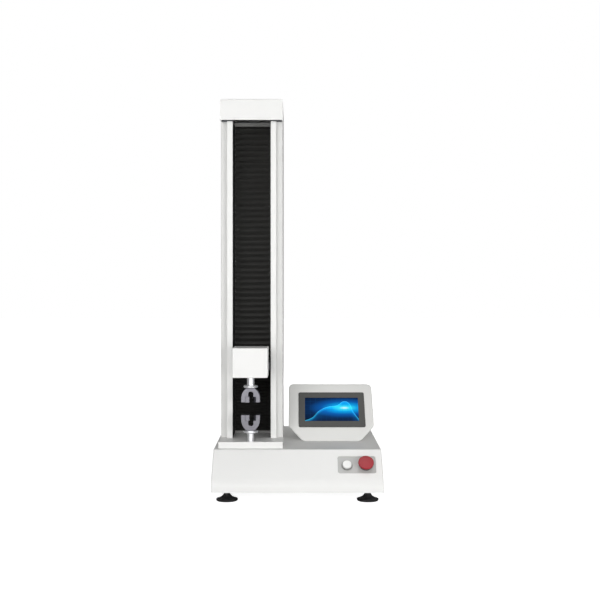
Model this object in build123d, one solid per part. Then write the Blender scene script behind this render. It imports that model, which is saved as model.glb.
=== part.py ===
from build123d import *

import os
from math import atan2, cos, degrees, hypot, pi, radians, sin

# Column-type universal testing machine, in millimetres. The origin is on the floor under the
# middle of the base, +X is to the operator's right, -Y is the operator's side and +Z is up.

# Base housing
BASE_WIDTH = 450.0
BASE_DEPTH = 530.0
BASE_BOTTOM_Z = 26.5
BASE_HEIGHT = 100.5
FRONT_LIP_HEIGHT = 25.0
SLOPE_RUN = 80.0
KINK_RADIUS = 30.0
CREASE_RADIUS = 6.0
BASE_EDGE_RADIUS = 3.0
BASE_SHEET = 2.5
PANEL_SHEET = 2.5
PANEL_RECESS = 8.0

# Levelling feet
FOOT_X = 185.0
FOOT_FRONT_Y = -228.0
FOOT_REAR_Y = 225.0
FOOT_RADIUS = 28.5
FOOT_RIM_HEIGHT = 5.0
FOOT_NECK_RADIUS = 8.0
FOOT_STUD_RADIUS = 5.0
FOOT_STUD_REACH = 32.0
FOOT_NUT_HEIGHT = 6.4
FOOT_NUT_ACROSS_FLATS = 17.0

# Column
COLUMN_X = -126.0
COLUMN_WIDTH = 172.0
COLUMN_FRONT_Y = -79.0
COLUMN_DEPTH = 240.0
COLUMN_TOP_Z = 1020.0
CHANNEL_WIDTH = 105.2
UPRIGHT_WALL = 3.0
UPRIGHT_CHAMBERS = 4
GUIDE_STRIP_WIDTH = 15.8
GUIDE_STRIP_DEPTH = 14.0
BED_THICKNESS = 17.0
BED_MARGIN = 1.0
BED_FRONT_SETBACK = 16.0
BED_REAR_MARGIN = 4.0

# Head of the column
CAP_HEIGHT = 57.5
CAP_OVERHANG = 37.0
CAP_SHEET = 2.0
CAP_EDGE_RADIUS = 3.5
CAP_HEM_HEIGHT = 5.0
CAP_HEM_PROUD = 0.8
HEAD_PLATE_THICKNESS = 14.0

# Drive screw, its bearings and the belt
SCREW_Y = 54.0
SCREW_RADIUS = 8.0
SCREW_LOWER_JOURNAL_RADIUS = 6.0
SCREW_UPPER_JOURNAL_RADIUS = 5.0
LOWER_BEARING_RADIUS = 16.0
LOWER_BEARING_WIDTH = 10.0
UPPER_BEARING_RADIUS = 15.0
UPPER_BEARING_WIDTH = 9.0
BEARING_HOUSING_WIDTH = 52.0
BEARING_HOUSING_HEIGHT = 28.0
BELT_PITCH = 5.0
SCREW_PULLEY_TEETH = 36
MOTOR_PULLEY_TEETH = 18
BELT_WIDTH = 10.0
BELT_THICKNESS = 2.2
BELT_CENTRES = 90.0
PULLEY_FLANGE_THICKNESS = 1.2
PULLEY_FLANGE_LIP = 3.4
PULLEY_TOP_GAP = 5.5
MOTOR_SIZE = 57.0
MOTOR_LENGTH = 56.0
MOTOR_SHAFT_RADIUS = 4.0
MOTOR_PLATE_THICKNESS = 6.0

# Linear guides and back plate
RAIL_SPACING = 68.0
RAIL_WIDTH = 15.0
RAIL_HEIGHT = 15.0
RAIL_LAND_HEIGHT = 6.0
BACK_PLATE_THICKNESS = 12.0
BLOCK_WIDTH = 34.0
BLOCK_HEIGHT = 24.0
BLOCK_LENGTH = 56.0
CARRIAGE_FRONT_Y = 22.0
CARRIAGE_THICKNESS = 16.0
CARRIAGE_WIDTH = 96.0
CARRIAGE_HEIGHT = 166.0
NUT_RADIUS = 12.5
NUT_LENGTH = 42.0
NUT_FLANGE_RADIUS = 21.0
NUT_FLANGE_THICKNESS = 6.0
NUT_BOSS_WIDTH = 48.0

# Crosshead
ARM_BOTTOM_Z = 331.0
ARM_THICKNESS = 21.0
ARM_WIDTH = 98.0
COVER_WIDTH = 94.0
COVER_HEIGHT = 79.0
COVER_DEPTH = 95.0
COVER_BOTTOM_Z = 319.4
COVER_FRONT_Y = -204.0
COVER_SHEET = 3.0
COVER_EDGE_RADIUS = 2.0
CELL_BRACKET_THICKNESS = 9.0
CELL_SHELF_THICKNESS = 12.0
CELL_SHELF_WIDTH = 60.0
CELL_WIDTH = 42.0
CELL_DEPTH = 24.0
CELL_SLOT = 4.0
CELL_HOLE_RADIUS = 6.0

# Bellows that close the channel above and below the crosshead
BELLOWS_FRONT_Y = 5.0
BELLOWS_DEPTH = 12.0
BELLOWS_CLOTH = 1.6
BELLOWS_FOLDS = 41
BELLOWS_SIDE_GAP = 0.6
BELLOWS_BAR_HEIGHT = 6.0
BELLOWS_TOP_BAR_HEIGHT = 10.0
BELLOWS_BAR_DEPTH = 18.0

# Test axis: adapters, lock rings and grips
AXIS_Y = -154.0
UPPER_ROD_RADIUS = 9.75
LOWER_ROD_RADIUS = 8.8
ROD_SPIGOT_RADIUS = 5.0
ROD_SPIGOT_LENGTH = 12.0
LOCK_RING_RADIUS = 19.5
LOCK_RING_HEIGHT = 6.8
LOCK_RING_HUB_WALL = 2.6
LOCK_RING_WEB = 2.6
UPPER_GRIP_MOUTH_Z = 250.0
UPPER_GRIP_HEIGHT = 38.5
LOWER_GRIP_MOUTH_Z = 216.0
LOWER_GRIP_HEIGHT = 42.0
GRIP_WIDTH = 50.6
GRIP_DEPTH = 26.0
GRIP_CHEEK_HEIGHT = 12.0
GRIP_NECK_WIDTH = 21.0
GRIP_ARM = 11.1
GRIP_SEAT_HEIGHT = 15.0
GRIP_SLOT_WIDTH = 13.0
GRIP_SLOT_SHIFT = 0.9
GRIP_SLOT_HEIGHT = 29.0
JAW_WIDTH = 10.9
JAW_TRAVEL = 8.4
INSERT_THICKNESS = 5.0
TOOTH_PITCH = 1.5
TOOTH_DEPTH = 0.6
JAW_SCREW_RADIUS = 3.0
JAW_SCREW_HEAD_RADIUS = 4.75
JAW_SCREW_HEAD_HEIGHT = 4.0
HEX_KEY = 4.0

# Display console
CONSOLE_X = 97.7
CONSOLE_FRONT_Y = -41.0
CONSOLE_WIDTH = 247.0
CONSOLE_SLOPE_LENGTH = 207.0
CONSOLE_LEAN = 44.0
CONSOLE_THICKNESS = 24.0
CONSOLE_BACK_THICKNESS = 4.0
CONSOLE_WALL = 2.5
CONSOLE_TOP_RADIUS = 15.0
CONSOLE_CHAMFER_WIDTH = 41.0
CONSOLE_CHAMFER_HEIGHT = 52.0
CONSOLE_CHAMFER_RADIUS = 18.0
CONSOLE_EDGE_RADIUS = 4.0
STAND_WIDTH = 150.0
STAND_REACH = 158.0
STAND_FOOT_DEPTH = 150.0
BEZEL_WIDTH = 191.0
BEZEL_HEIGHT = 124.0
BEZEL_SHIFT = 2.3
BEZEL_BOTTOM = 47.5
BEZEL_RADIUS = 5.0
BEZEL_PROUD = 3.0
BEZEL_LIP = 5.0
SCREEN_WIDTH = 154.4
SCREEN_HEIGHT = 84.0
SCREEN_THICKNESS = 1.6
SCREEN_SUNK = 0.6
DISPLAY_BODY_DEPTH = 17.0

# Control plate and its two push-buttons on the slope
CONTROL_X = 156.9
CONTROL_WIDTH = 100.6
CONTROL_LENGTH = 56.0
CONTROL_FROM_CREASE = 22.2
CONTROL_RADIUS = 6.0
CONTROL_LIP = 4.0
CONTROL_THICKNESS = 2.0
START_X = 131.0
ESTOP_X = 180.6
BUTTON_FROM_CREASE = 53.0
BARREL_RADIUS = 11.0
BARREL_LENGTH = 24.0
START_BEZEL_RADIUS = 14.2
START_BEZEL_HEIGHT = 4.5
START_CAP_RADIUS = 12.0
START_CAP_HEIGHT = 9.0
START_TRAVEL = 3.0
ESTOP_COLLAR_RADIUS = 15.0
ESTOP_COLLAR_HEIGHT = 3.5
ESTOP_STEM_RADIUS = 8.0
ESTOP_PIN_RADIUS = 4.0
ESTOP_HEAD_RADIUS = 20.3
ESTOP_NECK_RADIUS = 13.0
ESTOP_HEAD_TOP = 21.0
ESTOP_DOME_RISE = 3.2
ESTOP_TRAVEL = 4.0

# Mains inlet with its rocker switch, on the rear panel
INLET_X = 120.0
INLET_Z = 76.0
INLET_WIDTH = 62.0
INLET_HEIGHT = 34.0
INLET_FLANGE = 2.4
INLET_BODY_DEPTH = 30.0
INLET_LIP = 3.0
SOCKET_WIDTH = 24.5
SOCKET_HEIGHT = 16.5
SOCKET_DEPTH = 16.0
SOCKET_SHIFT = 13.0
BLADE_PITCH = 7.0
BLADE_THICKNESS = 2.0
BLADE_HEIGHT = 4.0
BLADE_LENGTH = 12.0
ROCKER_WIDTH = 13.0
ROCKER_HEIGHT = 19.5
ROCKER_SHIFT = -17.0
ROCKER_ANGLE = 14.0

# Clearances
RUNNING_CLEARANCE = 0.05
MOVING_GAP = 0.3
LOOSE_GAP = 1.0

# Places that several pieces share
DECK_Z = BASE_BOTTOM_Z + BASE_HEIGHT
FRONT_Y = -BASE_DEPTH / 2
REAR_Y = BASE_DEPTH / 2
INNER_WIDTH = BASE_WIDTH - 2 * BASE_SHEET
CREASE_Y = FRONT_Y + SLOPE_RUN
SLOPE_DROP = BASE_HEIGHT - FRONT_LIP_HEIGHT
SLOPE_LENGTH = hypot(SLOPE_RUN, SLOPE_DROP)
SLOPE_NORMAL = (0, -SLOPE_DROP / SLOPE_LENGTH, SLOPE_RUN / SLOPE_LENGTH)
SLOPE_PLANE = Plane(origin=(0, CREASE_Y, DECK_Z), x_dir=(1, 0, 0), z_dir=SLOPE_NORMAL)
FLOOR_SHEET_TOP = BASE_BOTTOM_Z + PANEL_SHEET
DECK_UNDERSIDE = DECK_Z - BASE_SHEET
PANEL_REAR_Y = REAR_Y - PANEL_RECESS
PANEL_FRONT_Y = PANEL_REAR_Y - PANEL_SHEET
BED_TOP = DECK_Z + BED_THICKNESS
COLUMN_REAR_Y = COLUMN_FRONT_Y + COLUMN_DEPTH
HALF_CHANNEL = CHANNEL_WIDTH / 2
UPRIGHT_WIDTH = (COLUMN_WIDTH - CHANNEL_WIDTH) / 2
CARRIAGE_REAR_Y = CARRIAGE_FRONT_Y + CARRIAGE_THICKNESS
RAIL_FOOT_Y = CARRIAGE_REAR_Y + BLOCK_HEIGHT + 4.0
RAIL_TOP_Y = RAIL_FOOT_Y - RAIL_HEIGHT
BACK_PLATE_Y = RAIL_FOOT_Y + RAIL_LAND_HEIGHT
ARM_TOP_Z = ARM_BOTTOM_Z + ARM_THICKNESS
CARRIAGE_MID_Z = ARM_BOTTOM_Z + ARM_THICKNESS / 2 + 3.5
COVER_REAR_Y = COVER_FRONT_Y + COVER_DEPTH
COVER_TOP_Z = COVER_BOTTOM_Z + COVER_HEIGHT
CELL_SHELF_BOTTOM = COVER_TOP_Z - COVER_SHEET - LOOSE_GAP - CELL_SHELF_THICKNESS
CELL_BOTTOM = COVER_BOTTOM_Z + COVER_SHEET + 8.0
SCREW_PULLEY_RADIUS = SCREW_PULLEY_TEETH * BELT_PITCH / (2 * pi)
MOTOR_PULLEY_RADIUS = MOTOR_PULLEY_TEETH * BELT_PITCH / (2 * pi)
MOTOR_X = COLUMN_X + BELT_CENTRES
TUBE_HEIGHT = 30.0
TUBE_WALL = 2.5
TUBE_TOP = FLOOR_SHEET_TOP + TUBE_HEIGHT
MOUNT_PLATE_THICKNESS = 8.0
MOUNT_PLATE_BOTTOM = DECK_UNDERSIDE - MOUNT_PLATE_THICKNESS
PULLEY_TOP = MOUNT_PLATE_BOTTOM - PULLEY_TOP_GAP
PULLEY_HEIGHT = BELT_WIDTH + 2 * (PULLEY_FLANGE_THICKNESS + LOOSE_GAP)
PULLEY_BOTTOM = PULLEY_TOP - PULLEY_HEIGHT
MOTOR_PLATE_BOTTOM = PULLEY_BOTTOM - LOOSE_GAP - MOTOR_PLATE_THICKNESS - 1.0
CONSOLE_NORMAL = (0, -cos(radians(CONSOLE_LEAN)), sin(radians(CONSOLE_LEAN)))
CONSOLE_PLANE = Plane(
    origin=(CONSOLE_X, CONSOLE_FRONT_Y, DECK_Z), x_dir=(1, 0, 0), z_dir=CONSOLE_NORMAL
)
BEZEL_PLACE = Pos(BEZEL_SHIFT, BEZEL_BOTTOM + BEZEL_HEIGHT / 2, 0)
UPPER_ROD_END_Z = UPPER_GRIP_MOUTH_Z + UPPER_GRIP_HEIGHT
LOWER_ROD_END_Z = LOWER_GRIP_MOUTH_Z - LOWER_GRIP_HEIGHT
JAW_SEAT_X = -(GRIP_WIDTH / 2 - GRIP_ARM)


def block(x_low, x_high, y_low, y_high, z_low, z_high):
    """A box between two corners."""
    size = Box(x_high - x_low, y_high - y_low, z_high - z_low)
    return Pos((x_low + x_high) / 2, (y_low + y_high) / 2, (z_low + z_high) / 2) * size


def column_block(half_width, y_low, y_high, z_low, z_high):
    """A box that lies evenly about the column's middle plane."""
    return block(COLUMN_X - half_width, COLUMN_X + half_width, y_low, y_high, z_low, z_high)


def post(x, y, z_low, z_high, radius):
    """An upright cylinder."""
    return Pos(x, y, (z_low + z_high) / 2) * Cylinder(radius, z_high - z_low)


def stub(radius, low, high):
    """A cylinder along the local Z axis, between two heights."""
    return Pos(0, 0, (low + high) / 2) * Cylinder(radius, high - low)


def slab(width, height, low, high, corner=0.0):
    """A plate in the local XY plane, between two heights, with round corners if asked."""
    outline = RectangleRounded(width, height, corner) if corner else Rectangle(width, height)
    return extrude(Pos(0, 0, low) * outline, amount=high - low)


def on_slope(x, from_crease):
    """Place on the sloping front, square to its surface."""
    return SLOPE_PLANE * Pos(x, -from_crease, 0)


# Base


def base_side_view():
    """Side view of the base: upright lip, long slope, flat deck, upright back."""
    corners = Polyline(
        (FRONT_Y, BASE_BOTTOM_Z),
        (FRONT_Y, BASE_BOTTOM_Z + FRONT_LIP_HEIGHT),
        (CREASE_Y, DECK_Z),
        (REAR_Y, DECK_Z),
        (REAR_Y, BASE_BOTTOM_Z),
        close=True,
    )
    view = make_face(Plane.YZ * corners)
    kink = Vector(0, FRONT_Y, BASE_BOTTOM_Z + FRONT_LIP_HEIGHT)
    crease = Vector(0, CREASE_Y, DECK_Z)
    view = fillet(view.vertices().sort_by_distance(kink)[0], KINK_RADIUS)
    return fillet(view.vertices().sort_by_distance(crease)[0], CREASE_RADIUS)


def base_shell():
    """Folded sheet hood, open below and behind, with a window for the controls."""
    view = base_side_view()
    hood = extrude(view, amount=BASE_WIDTH / 2, both=True)
    rims = hood.faces().filter_by(Axis.X).edges()
    rims = rims.filter_by_position(Axis.Z, BASE_BOTTOM_Z + 1, DECK_Z + 1)
    rims = rims.filter_by_position(Axis.Y, FRONT_Y - 1, REAR_Y - 1)
    hood = fillet(rims, BASE_EDGE_RADIUS)
    inside = extrude(offset(view, -BASE_SHEET), amount=INNER_WIDTH / 2, both=True)
    half = INNER_WIDTH / 2
    floor_way = block(
        -half, half, FRONT_Y + BASE_SHEET, REAR_Y, BASE_BOTTOM_Z, BASE_BOTTOM_Z + BASE_SHEET
    )
    rear_way = block(-half, half, REAR_Y - BASE_SHEET, REAR_Y, BASE_BOTTOM_Z, DECK_UNDERSIDE)
    window = slab(CONTROL_WIDTH, CONTROL_LENGTH, -3 * BASE_SHEET, BASE_SHEET, CONTROL_RADIUS)
    window = on_slope(CONTROL_X, CONTROL_FROM_CREASE + CONTROL_LENGTH / 2) * window
    screw_way = post(COLUMN_X, SCREW_Y, DECK_UNDERSIDE, DECK_Z, SCREW_RADIUS + 10)
    cable_way = post(CONSOLE_X, CONSOLE_FRONT_Y + 100, DECK_UNDERSIDE, DECK_Z, 12)
    return hood - inside - floor_way - rear_way - window - screw_way - cable_way


def square_tube(x_low, x_high, y_low, y_high):
    """A rectangular tube lying on the floor sheet, along its longer side."""
    tube = block(x_low, x_high, y_low, y_high, FLOOR_SHEET_TOP, TUBE_TOP)
    along_x = x_high - x_low > y_high - y_low
    trim_x = 0 if along_x else TUBE_WALL
    trim_y = TUBE_WALL if along_x else 0
    low = FLOOR_SHEET_TOP + TUBE_WALL
    high = TUBE_TOP - TUBE_WALL
    bore = block(x_low + trim_x, x_high - trim_x, y_low + trim_y, y_high - trim_y, low, high)
    return tube - bore


def base_frame():
    """Welded tube frame: carries the feet, the column and the motor."""
    side = 15.0
    cross = 12.5
    cross_y = 137.5
    rail_x = FOOT_X - side
    frame = Part()
    for x in (-FOOT_X, FOOT_X):
        frame += square_tube(x - side, x + side, FOOT_FRONT_Y - 17, FOOT_REAR_Y + 25)
        for y in (FOOT_FRONT_Y, FOOT_REAR_Y):
            frame += post(x, y, FLOOR_SHEET_TOP, TUBE_TOP, 12)
    for y in (-cross_y, cross_y):
        frame += square_tube(-rail_x, rail_x, y - cross, y + cross)
        for x in (-FOOT_X + 1, COLUMN_X + 62):
            frame += block(x - 12, x + 12, y - cross, y + cross, TUBE_TOP, MOUNT_PLATE_BOTTOM)
    plate_y = cross_y + 25
    frame += column_block(COLUMN_WIDTH / 2, -plate_y, plate_y, MOUNT_PLATE_BOTTOM, DECK_UNDERSIDE)
    frame -= post(COLUMN_X, SCREW_Y, MOUNT_PLATE_BOTTOM, DECK_UNDERSIDE, SCREW_RADIUS + 10)
    reach = MOTOR_SIZE / 2 + 5
    plate_top = MOTOR_PLATE_BOTTOM + MOTOR_PLATE_THICKNESS
    left = COLUMN_X + COLUMN_WIDTH / 2 - 35
    web_y = SCREW_Y + reach
    frame += block(
        left, MOTOR_X + reach, SCREW_Y - reach, web_y + 6, MOTOR_PLATE_BOTTOM, plate_top
    )
    frame += block(
        left, COLUMN_X + COLUMN_WIDTH / 2, web_y, web_y + 6, plate_top, MOUNT_PLATE_BOTTOM
    )
    frame -= post(MOTOR_X, SCREW_Y, MOTOR_PLATE_BOTTOM, plate_top, MOTOR_SHAFT_RADIUS + 6)
    for x in (-FOOT_X, FOOT_X):
        for y in (FOOT_FRONT_Y, FOOT_REAR_Y):
            hole = post(x, y, FLOOR_SHEET_TOP, TUBE_TOP, FOOT_STUD_RADIUS + RUNNING_CLEARANCE)
            frame -= hole
    return frame


def bottom_plate():
    """Sheet that closes the base from below, slotted for cooling air."""
    half = INNER_WIDTH / 2
    plate = block(
        -half, half, FRONT_Y + BASE_SHEET, PANEL_FRONT_Y, BASE_BOTTOM_Z, FLOOR_SHEET_TOP
    )
    for x in (-FOOT_X, FOOT_X):
        for y in (FOOT_FRONT_Y, FOOT_REAR_Y):
            plate -= post(x, y, BASE_BOTTOM_Z, FLOOR_SHEET_TOP, FOOT_STUD_RADIUS + 0.5)
    slot = slab(60, 5, BASE_BOTTOM_Z, FLOOR_SHEET_TOP, 2.4)
    slots = [Pos(x, y, 0) * slot for x in (-90, 90) for y in range(-60, 61, 15)]
    return plate - slots


def rear_panel():
    """Back sheet of the base, with louvre slots and the opening for the mains inlet."""
    half = INNER_WIDTH / 2
    panel = block(-half, half, PANEL_FRONT_Y, PANEL_REAR_Y, BASE_BOTTOM_Z, DECK_UNDERSIDE)
    opening_x = INLET_WIDTH / 2 - INLET_LIP
    opening_z = INLET_HEIGHT / 2 - INLET_LIP
    panel -= block(
        INLET_X - opening_x,
        INLET_X + opening_x,
        PANEL_FRONT_Y,
        PANEL_REAR_Y,
        INLET_Z - opening_z,
        INLET_Z + opening_z,
    )
    louvre = Rot(90, 0, 0) * slab(70, 4, -PANEL_REAR_Y, -PANEL_FRONT_Y, 1.9)
    louvres = [
        Pos(x, 0, BASE_BOTTOM_Z + z) * louvre for x in (-150, -60) for z in range(30, 76, 9)
    ]
    return panel - louvres


def foot():
    """Levelling foot, drawn at the origin: round pad, hollow-curved cone and a stud."""
    top = BASE_BOTTOM_Z - FOOT_NUT_HEIGHT - MOVING_GAP
    stud_top = BASE_BOTTOM_Z + FOOT_STUD_REACH
    outline = [
        Line((0, 0), (FOOT_RADIUS - 1.5, 0)),
        Line((FOOT_RADIUS - 1.5, 0), (FOOT_RADIUS, 1.5)),
        Line((FOOT_RADIUS, 1.5), (FOOT_RADIUS, FOOT_RIM_HEIGHT)),
        Spline(
            (FOOT_RADIUS, FOOT_RIM_HEIGHT),
            (FOOT_NECK_RADIUS, top),
            tangents=[(-1.0, 0.32), (-0.35, 1.0)],
        ),
        Line((FOOT_NECK_RADIUS, top), (FOOT_STUD_RADIUS, top)),
        Line((FOOT_STUD_RADIUS, top), (FOOT_STUD_RADIUS, stud_top)),
        Line((FOOT_STUD_RADIUS, stud_top), (0, stud_top)),
        Line((0, stud_top), (0, 0)),
    ]
    profile = make_face(Curve() + [Plane.XZ * edge for edge in outline])
    return revolve(profile, Axis.Z)


def foot_nuts():
    """Hexagon nuts that lock the feet against the base."""
    across = FOOT_NUT_ACROSS_FLATS / 2
    nut = extrude(RegularPolygon(across, 6, major_radius=False), amount=FOOT_NUT_HEIGHT)
    nut -= Pos(0, 0, FOOT_NUT_HEIGHT / 2) * Cylinder(
        FOOT_STUD_RADIUS + RUNNING_CLEARANCE, FOOT_NUT_HEIGHT
    )
    low = BASE_BOTTOM_Z - FOOT_NUT_HEIGHT
    places = [(x, y) for x in (-FOOT_X, FOOT_X) for y in (FOOT_FRONT_Y, FOOT_REAR_Y)]
    return Compound([Pos(x, y, low) * nut for x, y in places])


# Column


def bed_plate():
    """Thick plate on the deck: the column and the lower adapter stand on it."""
    half = COLUMN_WIDTH / 2 + BED_MARGIN
    front = CREASE_Y + BED_FRONT_SETBACK
    plate = column_block(half, front, COLUMN_REAR_Y + BED_REAR_MARGIN, DECK_Z, BED_TOP)
    plate = fillet(plate.edges().filter_by(Axis.Z), 1.5)
    plate = chamfer(plate.faces().sort_by(Axis.Z)[-1].edges(), 0.8)
    plate -= post(COLUMN_X, SCREW_Y, DECK_Z, BED_TOP, SCREW_RADIUS + 3)
    socket_bottom = BED_TOP - ROD_SPIGOT_LENGTH - MOVING_GAP
    return plate - post(COLUMN_X, AXIS_Y, socket_bottom, BED_TOP, ROD_SPIGOT_RADIUS)


def upright():
    """Hollow extrusion, drawn with its channel face on X = 0 and its front on Y = 0."""
    section = Pos(UPRIGHT_WIDTH / 2, COLUMN_DEPTH / 2) * Rectangle(UPRIGHT_WIDTH, COLUMN_DEPTH)
    front_corner = section.vertices().sort_by_distance(Vector(UPRIGHT_WIDTH, 0, 0))[0]
    section = fillet(front_corner, UPRIGHT_WALL / 2)
    pitch = (COLUMN_DEPTH - UPRIGHT_WALL) / UPRIGHT_CHAMBERS
    inner_width = UPRIGHT_WIDTH - 2 * UPRIGHT_WALL
    chamber = RectangleRounded(inner_width, pitch - UPRIGHT_WALL, UPRIGHT_WALL / 2)
    for number in range(UPRIGHT_CHAMBERS):
        middle = UPRIGHT_WALL / 2 + pitch * (number + 0.5)
        section -= Pos(UPRIGHT_WIDTH / 2, middle) * chamber
    return extrude(section, amount=COLUMN_TOP_Z - BED_TOP)


def right_upright():
    return Pos(COLUMN_X + HALF_CHANNEL, COLUMN_FRONT_Y, BED_TOP) * upright()


def left_upright():
    return Pos(COLUMN_X - HALF_CHANNEL, COLUMN_FRONT_Y, BED_TOP) * mirror(upright(), Plane.YZ)


def guide_strips():
    """Two square strips on the front of the uprights, at the channel's edges."""
    strip = block(0, GUIDE_STRIP_WIDTH, -GUIDE_STRIP_DEPTH, 0, BED_TOP, COLUMN_TOP_Z)
    strip = chamfer(strip.faces().sort_by(Axis.Y)[0].edges().filter_by(Axis.Z), 0.8)
    right = Pos(COLUMN_X + HALF_CHANNEL, COLUMN_FRONT_Y, 0) * strip
    left = Pos(COLUMN_X - HALF_CHANNEL, COLUMN_FRONT_Y, 0) * mirror(strip, Plane.YZ)
    return Compound([right, left])


def back_plate():
    """Ground plate between the uprights, with a raised land under each rail."""
    rear = BACK_PLATE_Y + BACK_PLATE_THICKNESS
    plate = column_block(HALF_CHANNEL, BACK_PLATE_Y, rear, BED_TOP, COLUMN_TOP_Z)
    for side in (-1, 1):
        middle = COLUMN_X + side * RAIL_SPACING / 2
        half = RAIL_WIDTH / 2 + 1.5
        plate += block(
            middle - half, middle + half, RAIL_FOOT_Y, BACK_PLATE_Y, BED_TOP + 30, COLUMN_TOP_Z - 12
        )
    return plate


def rail_section(growth=0.0):
    """Outline of the guide rail with its waist, seen along the rail; growth adds clearance."""
    half = RAIL_WIDTH / 2 + growth
    waist = half - 2.0
    top = RAIL_TOP_Y - growth
    right = [
        (half, RAIL_FOOT_Y),
        (half, RAIL_FOOT_Y - 4),
        (waist, RAIL_FOOT_Y - 6),
        (waist, top + 6),
        (half, top + 4),
        (half, top),
    ]
    left = [(-x, y) for x, y in reversed(right)]
    return make_face(Polyline(*right, *left, close=True))


def linear_rails():
    """Pair of profiled rails on the back plate."""
    low = BED_TOP + 32
    rail = extrude(rail_section(), amount=COLUMN_TOP_Z - 14 - low)
    places = [COLUMN_X - RAIL_SPACING / 2, COLUMN_X + RAIL_SPACING / 2]
    return Compound([Pos(x, 0, low) * rail for x in places])


def rear_cover():
    """Sheet that closes the column from behind, with folded edges."""
    face = column_block(HALF_CHANNEL, COLUMN_REAR_Y - 2, COLUMN_REAR_Y, BED_TOP, COLUMN_TOP_Z)
    for side in (-1, 1):
        edge = COLUMN_X + side * (HALF_CHANNEL - 1)
        face += block(edge - 1, edge + 1, COLUMN_REAR_Y - 22, COLUMN_REAR_Y, BED_TOP, COLUMN_TOP_Z)
    return face


def head_plate():
    """Top plate: ties the uprights together and holds the upper bearing."""
    half = COLUMN_WIDTH / 2 - CAP_SHEET - MOVING_GAP
    front = COLUMN_FRONT_Y + 3
    rear = COLUMN_REAR_Y - CAP_SHEET - MOVING_GAP
    top = COLUMN_TOP_Z + HEAD_PLATE_THICKNESS
    plate = column_block(half, front, rear, COLUMN_TOP_Z, top)
    plate -= column_block(HALF_CHANNEL, front, CARRIAGE_FRONT_Y, COLUMN_TOP_Z, top)
    seat_top = COLUMN_TOP_Z + 1 + UPPER_BEARING_WIDTH
    plate -= post(COLUMN_X, SCREW_Y, COLUMN_TOP_Z, seat_top, UPPER_BEARING_RADIUS)
    return plate - post(COLUMN_X, SCREW_Y, seat_top, top, SCREW_UPPER_JOURNAL_RADIUS + 2)


def head_cap():
    """Folded sheet cap: overhangs the column at the front, where it is open below."""
    half = COLUMN_WIDTH / 2
    front = COLUMN_FRONT_Y - CAP_OVERHANG
    top = COLUMN_TOP_Z + CAP_HEIGHT
    cap = column_block(half, front, COLUMN_REAR_Y, COLUMN_TOP_Z, top)
    cap = fillet(cap.edges().filter_by_position(Axis.Z, top - 1, top + 1), CAP_EDGE_RADIUS)
    cap -= column_block(
        half - CAP_SHEET,
        front + CAP_SHEET,
        COLUMN_REAR_Y - CAP_SHEET,
        COLUMN_TOP_Z,
        top - CAP_SHEET,
    )
    hem_top = COLUMN_TOP_Z + CAP_HEM_HEIGHT
    cap += column_block(half, front - CAP_HEM_PROUD, front + CAP_SHEET, COLUMN_TOP_Z, hem_top)
    return cap


# Drive


def bottom_bearing_housing():
    """Block on the bed that holds the lower bearing of the screw."""
    half = BEARING_HOUSING_WIDTH / 2
    rear = BACK_PLATE_Y - LOOSE_GAP
    top = BED_TOP + BEARING_HOUSING_HEIGHT
    housing = column_block(half, 2 * SCREW_Y - rear, rear, BED_TOP, top)
    housing = fillet(housing.edges().filter_by(Axis.Z), 4)
    seat_low = top - 6 - LOWER_BEARING_WIDTH
    housing -= post(COLUMN_X, SCREW_Y, seat_low, top, LOWER_BEARING_RADIUS)
    return housing - post(COLUMN_X, SCREW_Y, BED_TOP, seat_low, LOWER_BEARING_RADIUS - 5)


def bearing(bore, outer, width):
    """Ball bearing as one ring, with the gap between its two races sunk in both faces."""
    ring = stub(outer, 0, width) - stub(bore + RUNNING_CLEARANCE, 0, width)
    middle = (bore + outer) / 2
    groove = stub(middle + 1.5, 0, 1.2) - stub(middle - 1.5, 0, 1.2)
    return ring - groove - Pos(0, 0, width - 1.2) * groove


def screw_bearings():
    """The two bearings of the drive screw."""
    lower = bearing(SCREW_LOWER_JOURNAL_RADIUS, LOWER_BEARING_RADIUS, LOWER_BEARING_WIDTH)
    upper = bearing(SCREW_UPPER_JOURNAL_RADIUS, UPPER_BEARING_RADIUS, UPPER_BEARING_WIDTH)
    lower_z = BED_TOP + BEARING_HOUSING_HEIGHT - 6 - LOWER_BEARING_WIDTH
    upper_z = COLUMN_TOP_Z + 1
    return Compound(
        [Pos(COLUMN_X, SCREW_Y, lower_z) * lower, Pos(COLUMN_X, SCREW_Y, upper_z) * upper]
    )


def pulley(teeth, bore):
    """Toothed belt pulley with two flanges, standing on Z = 0."""
    radius = teeth * BELT_PITCH / (2 * pi)
    wheel = stub(radius, 0, PULLEY_HEIGHT)
    groove = Pos(radius, 0, PULLEY_HEIGHT / 2) * Box(3.4, BELT_PITCH * 0.55, PULLEY_HEIGHT)
    wheel -= PolarLocations(0, teeth) * groove
    for low in (0, PULLEY_HEIGHT - PULLEY_FLANGE_THICKNESS):
        wheel += stub(radius + PULLEY_FLANGE_LIP, low, low + PULLEY_FLANGE_THICKNESS)
    return wheel - stub(bore, 0, PULLEY_HEIGHT)


def ball_screw():
    """Drive screw with its two journals and the pulley keyed to its lower end."""
    shoulder = BED_TOP + BEARING_HOUSING_HEIGHT + 2
    thread_top = COLUMN_TOP_Z - 6
    top = COLUMN_TOP_Z + HEAD_PLATE_THICKNESS - 2
    screw = post(COLUMN_X, SCREW_Y, shoulder, thread_top, SCREW_RADIUS)
    screw += post(COLUMN_X, SCREW_Y, PULLEY_BOTTOM, shoulder, SCREW_LOWER_JOURNAL_RADIUS)
    screw += post(COLUMN_X, SCREW_Y, thread_top, top, SCREW_UPPER_JOURNAL_RADIUS)
    wheel = pulley(SCREW_PULLEY_TEETH, SCREW_LOWER_JOURNAL_RADIUS - 1)
    return screw + Pos(COLUMN_X, SCREW_Y, PULLEY_BOTTOM) * wheel


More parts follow.
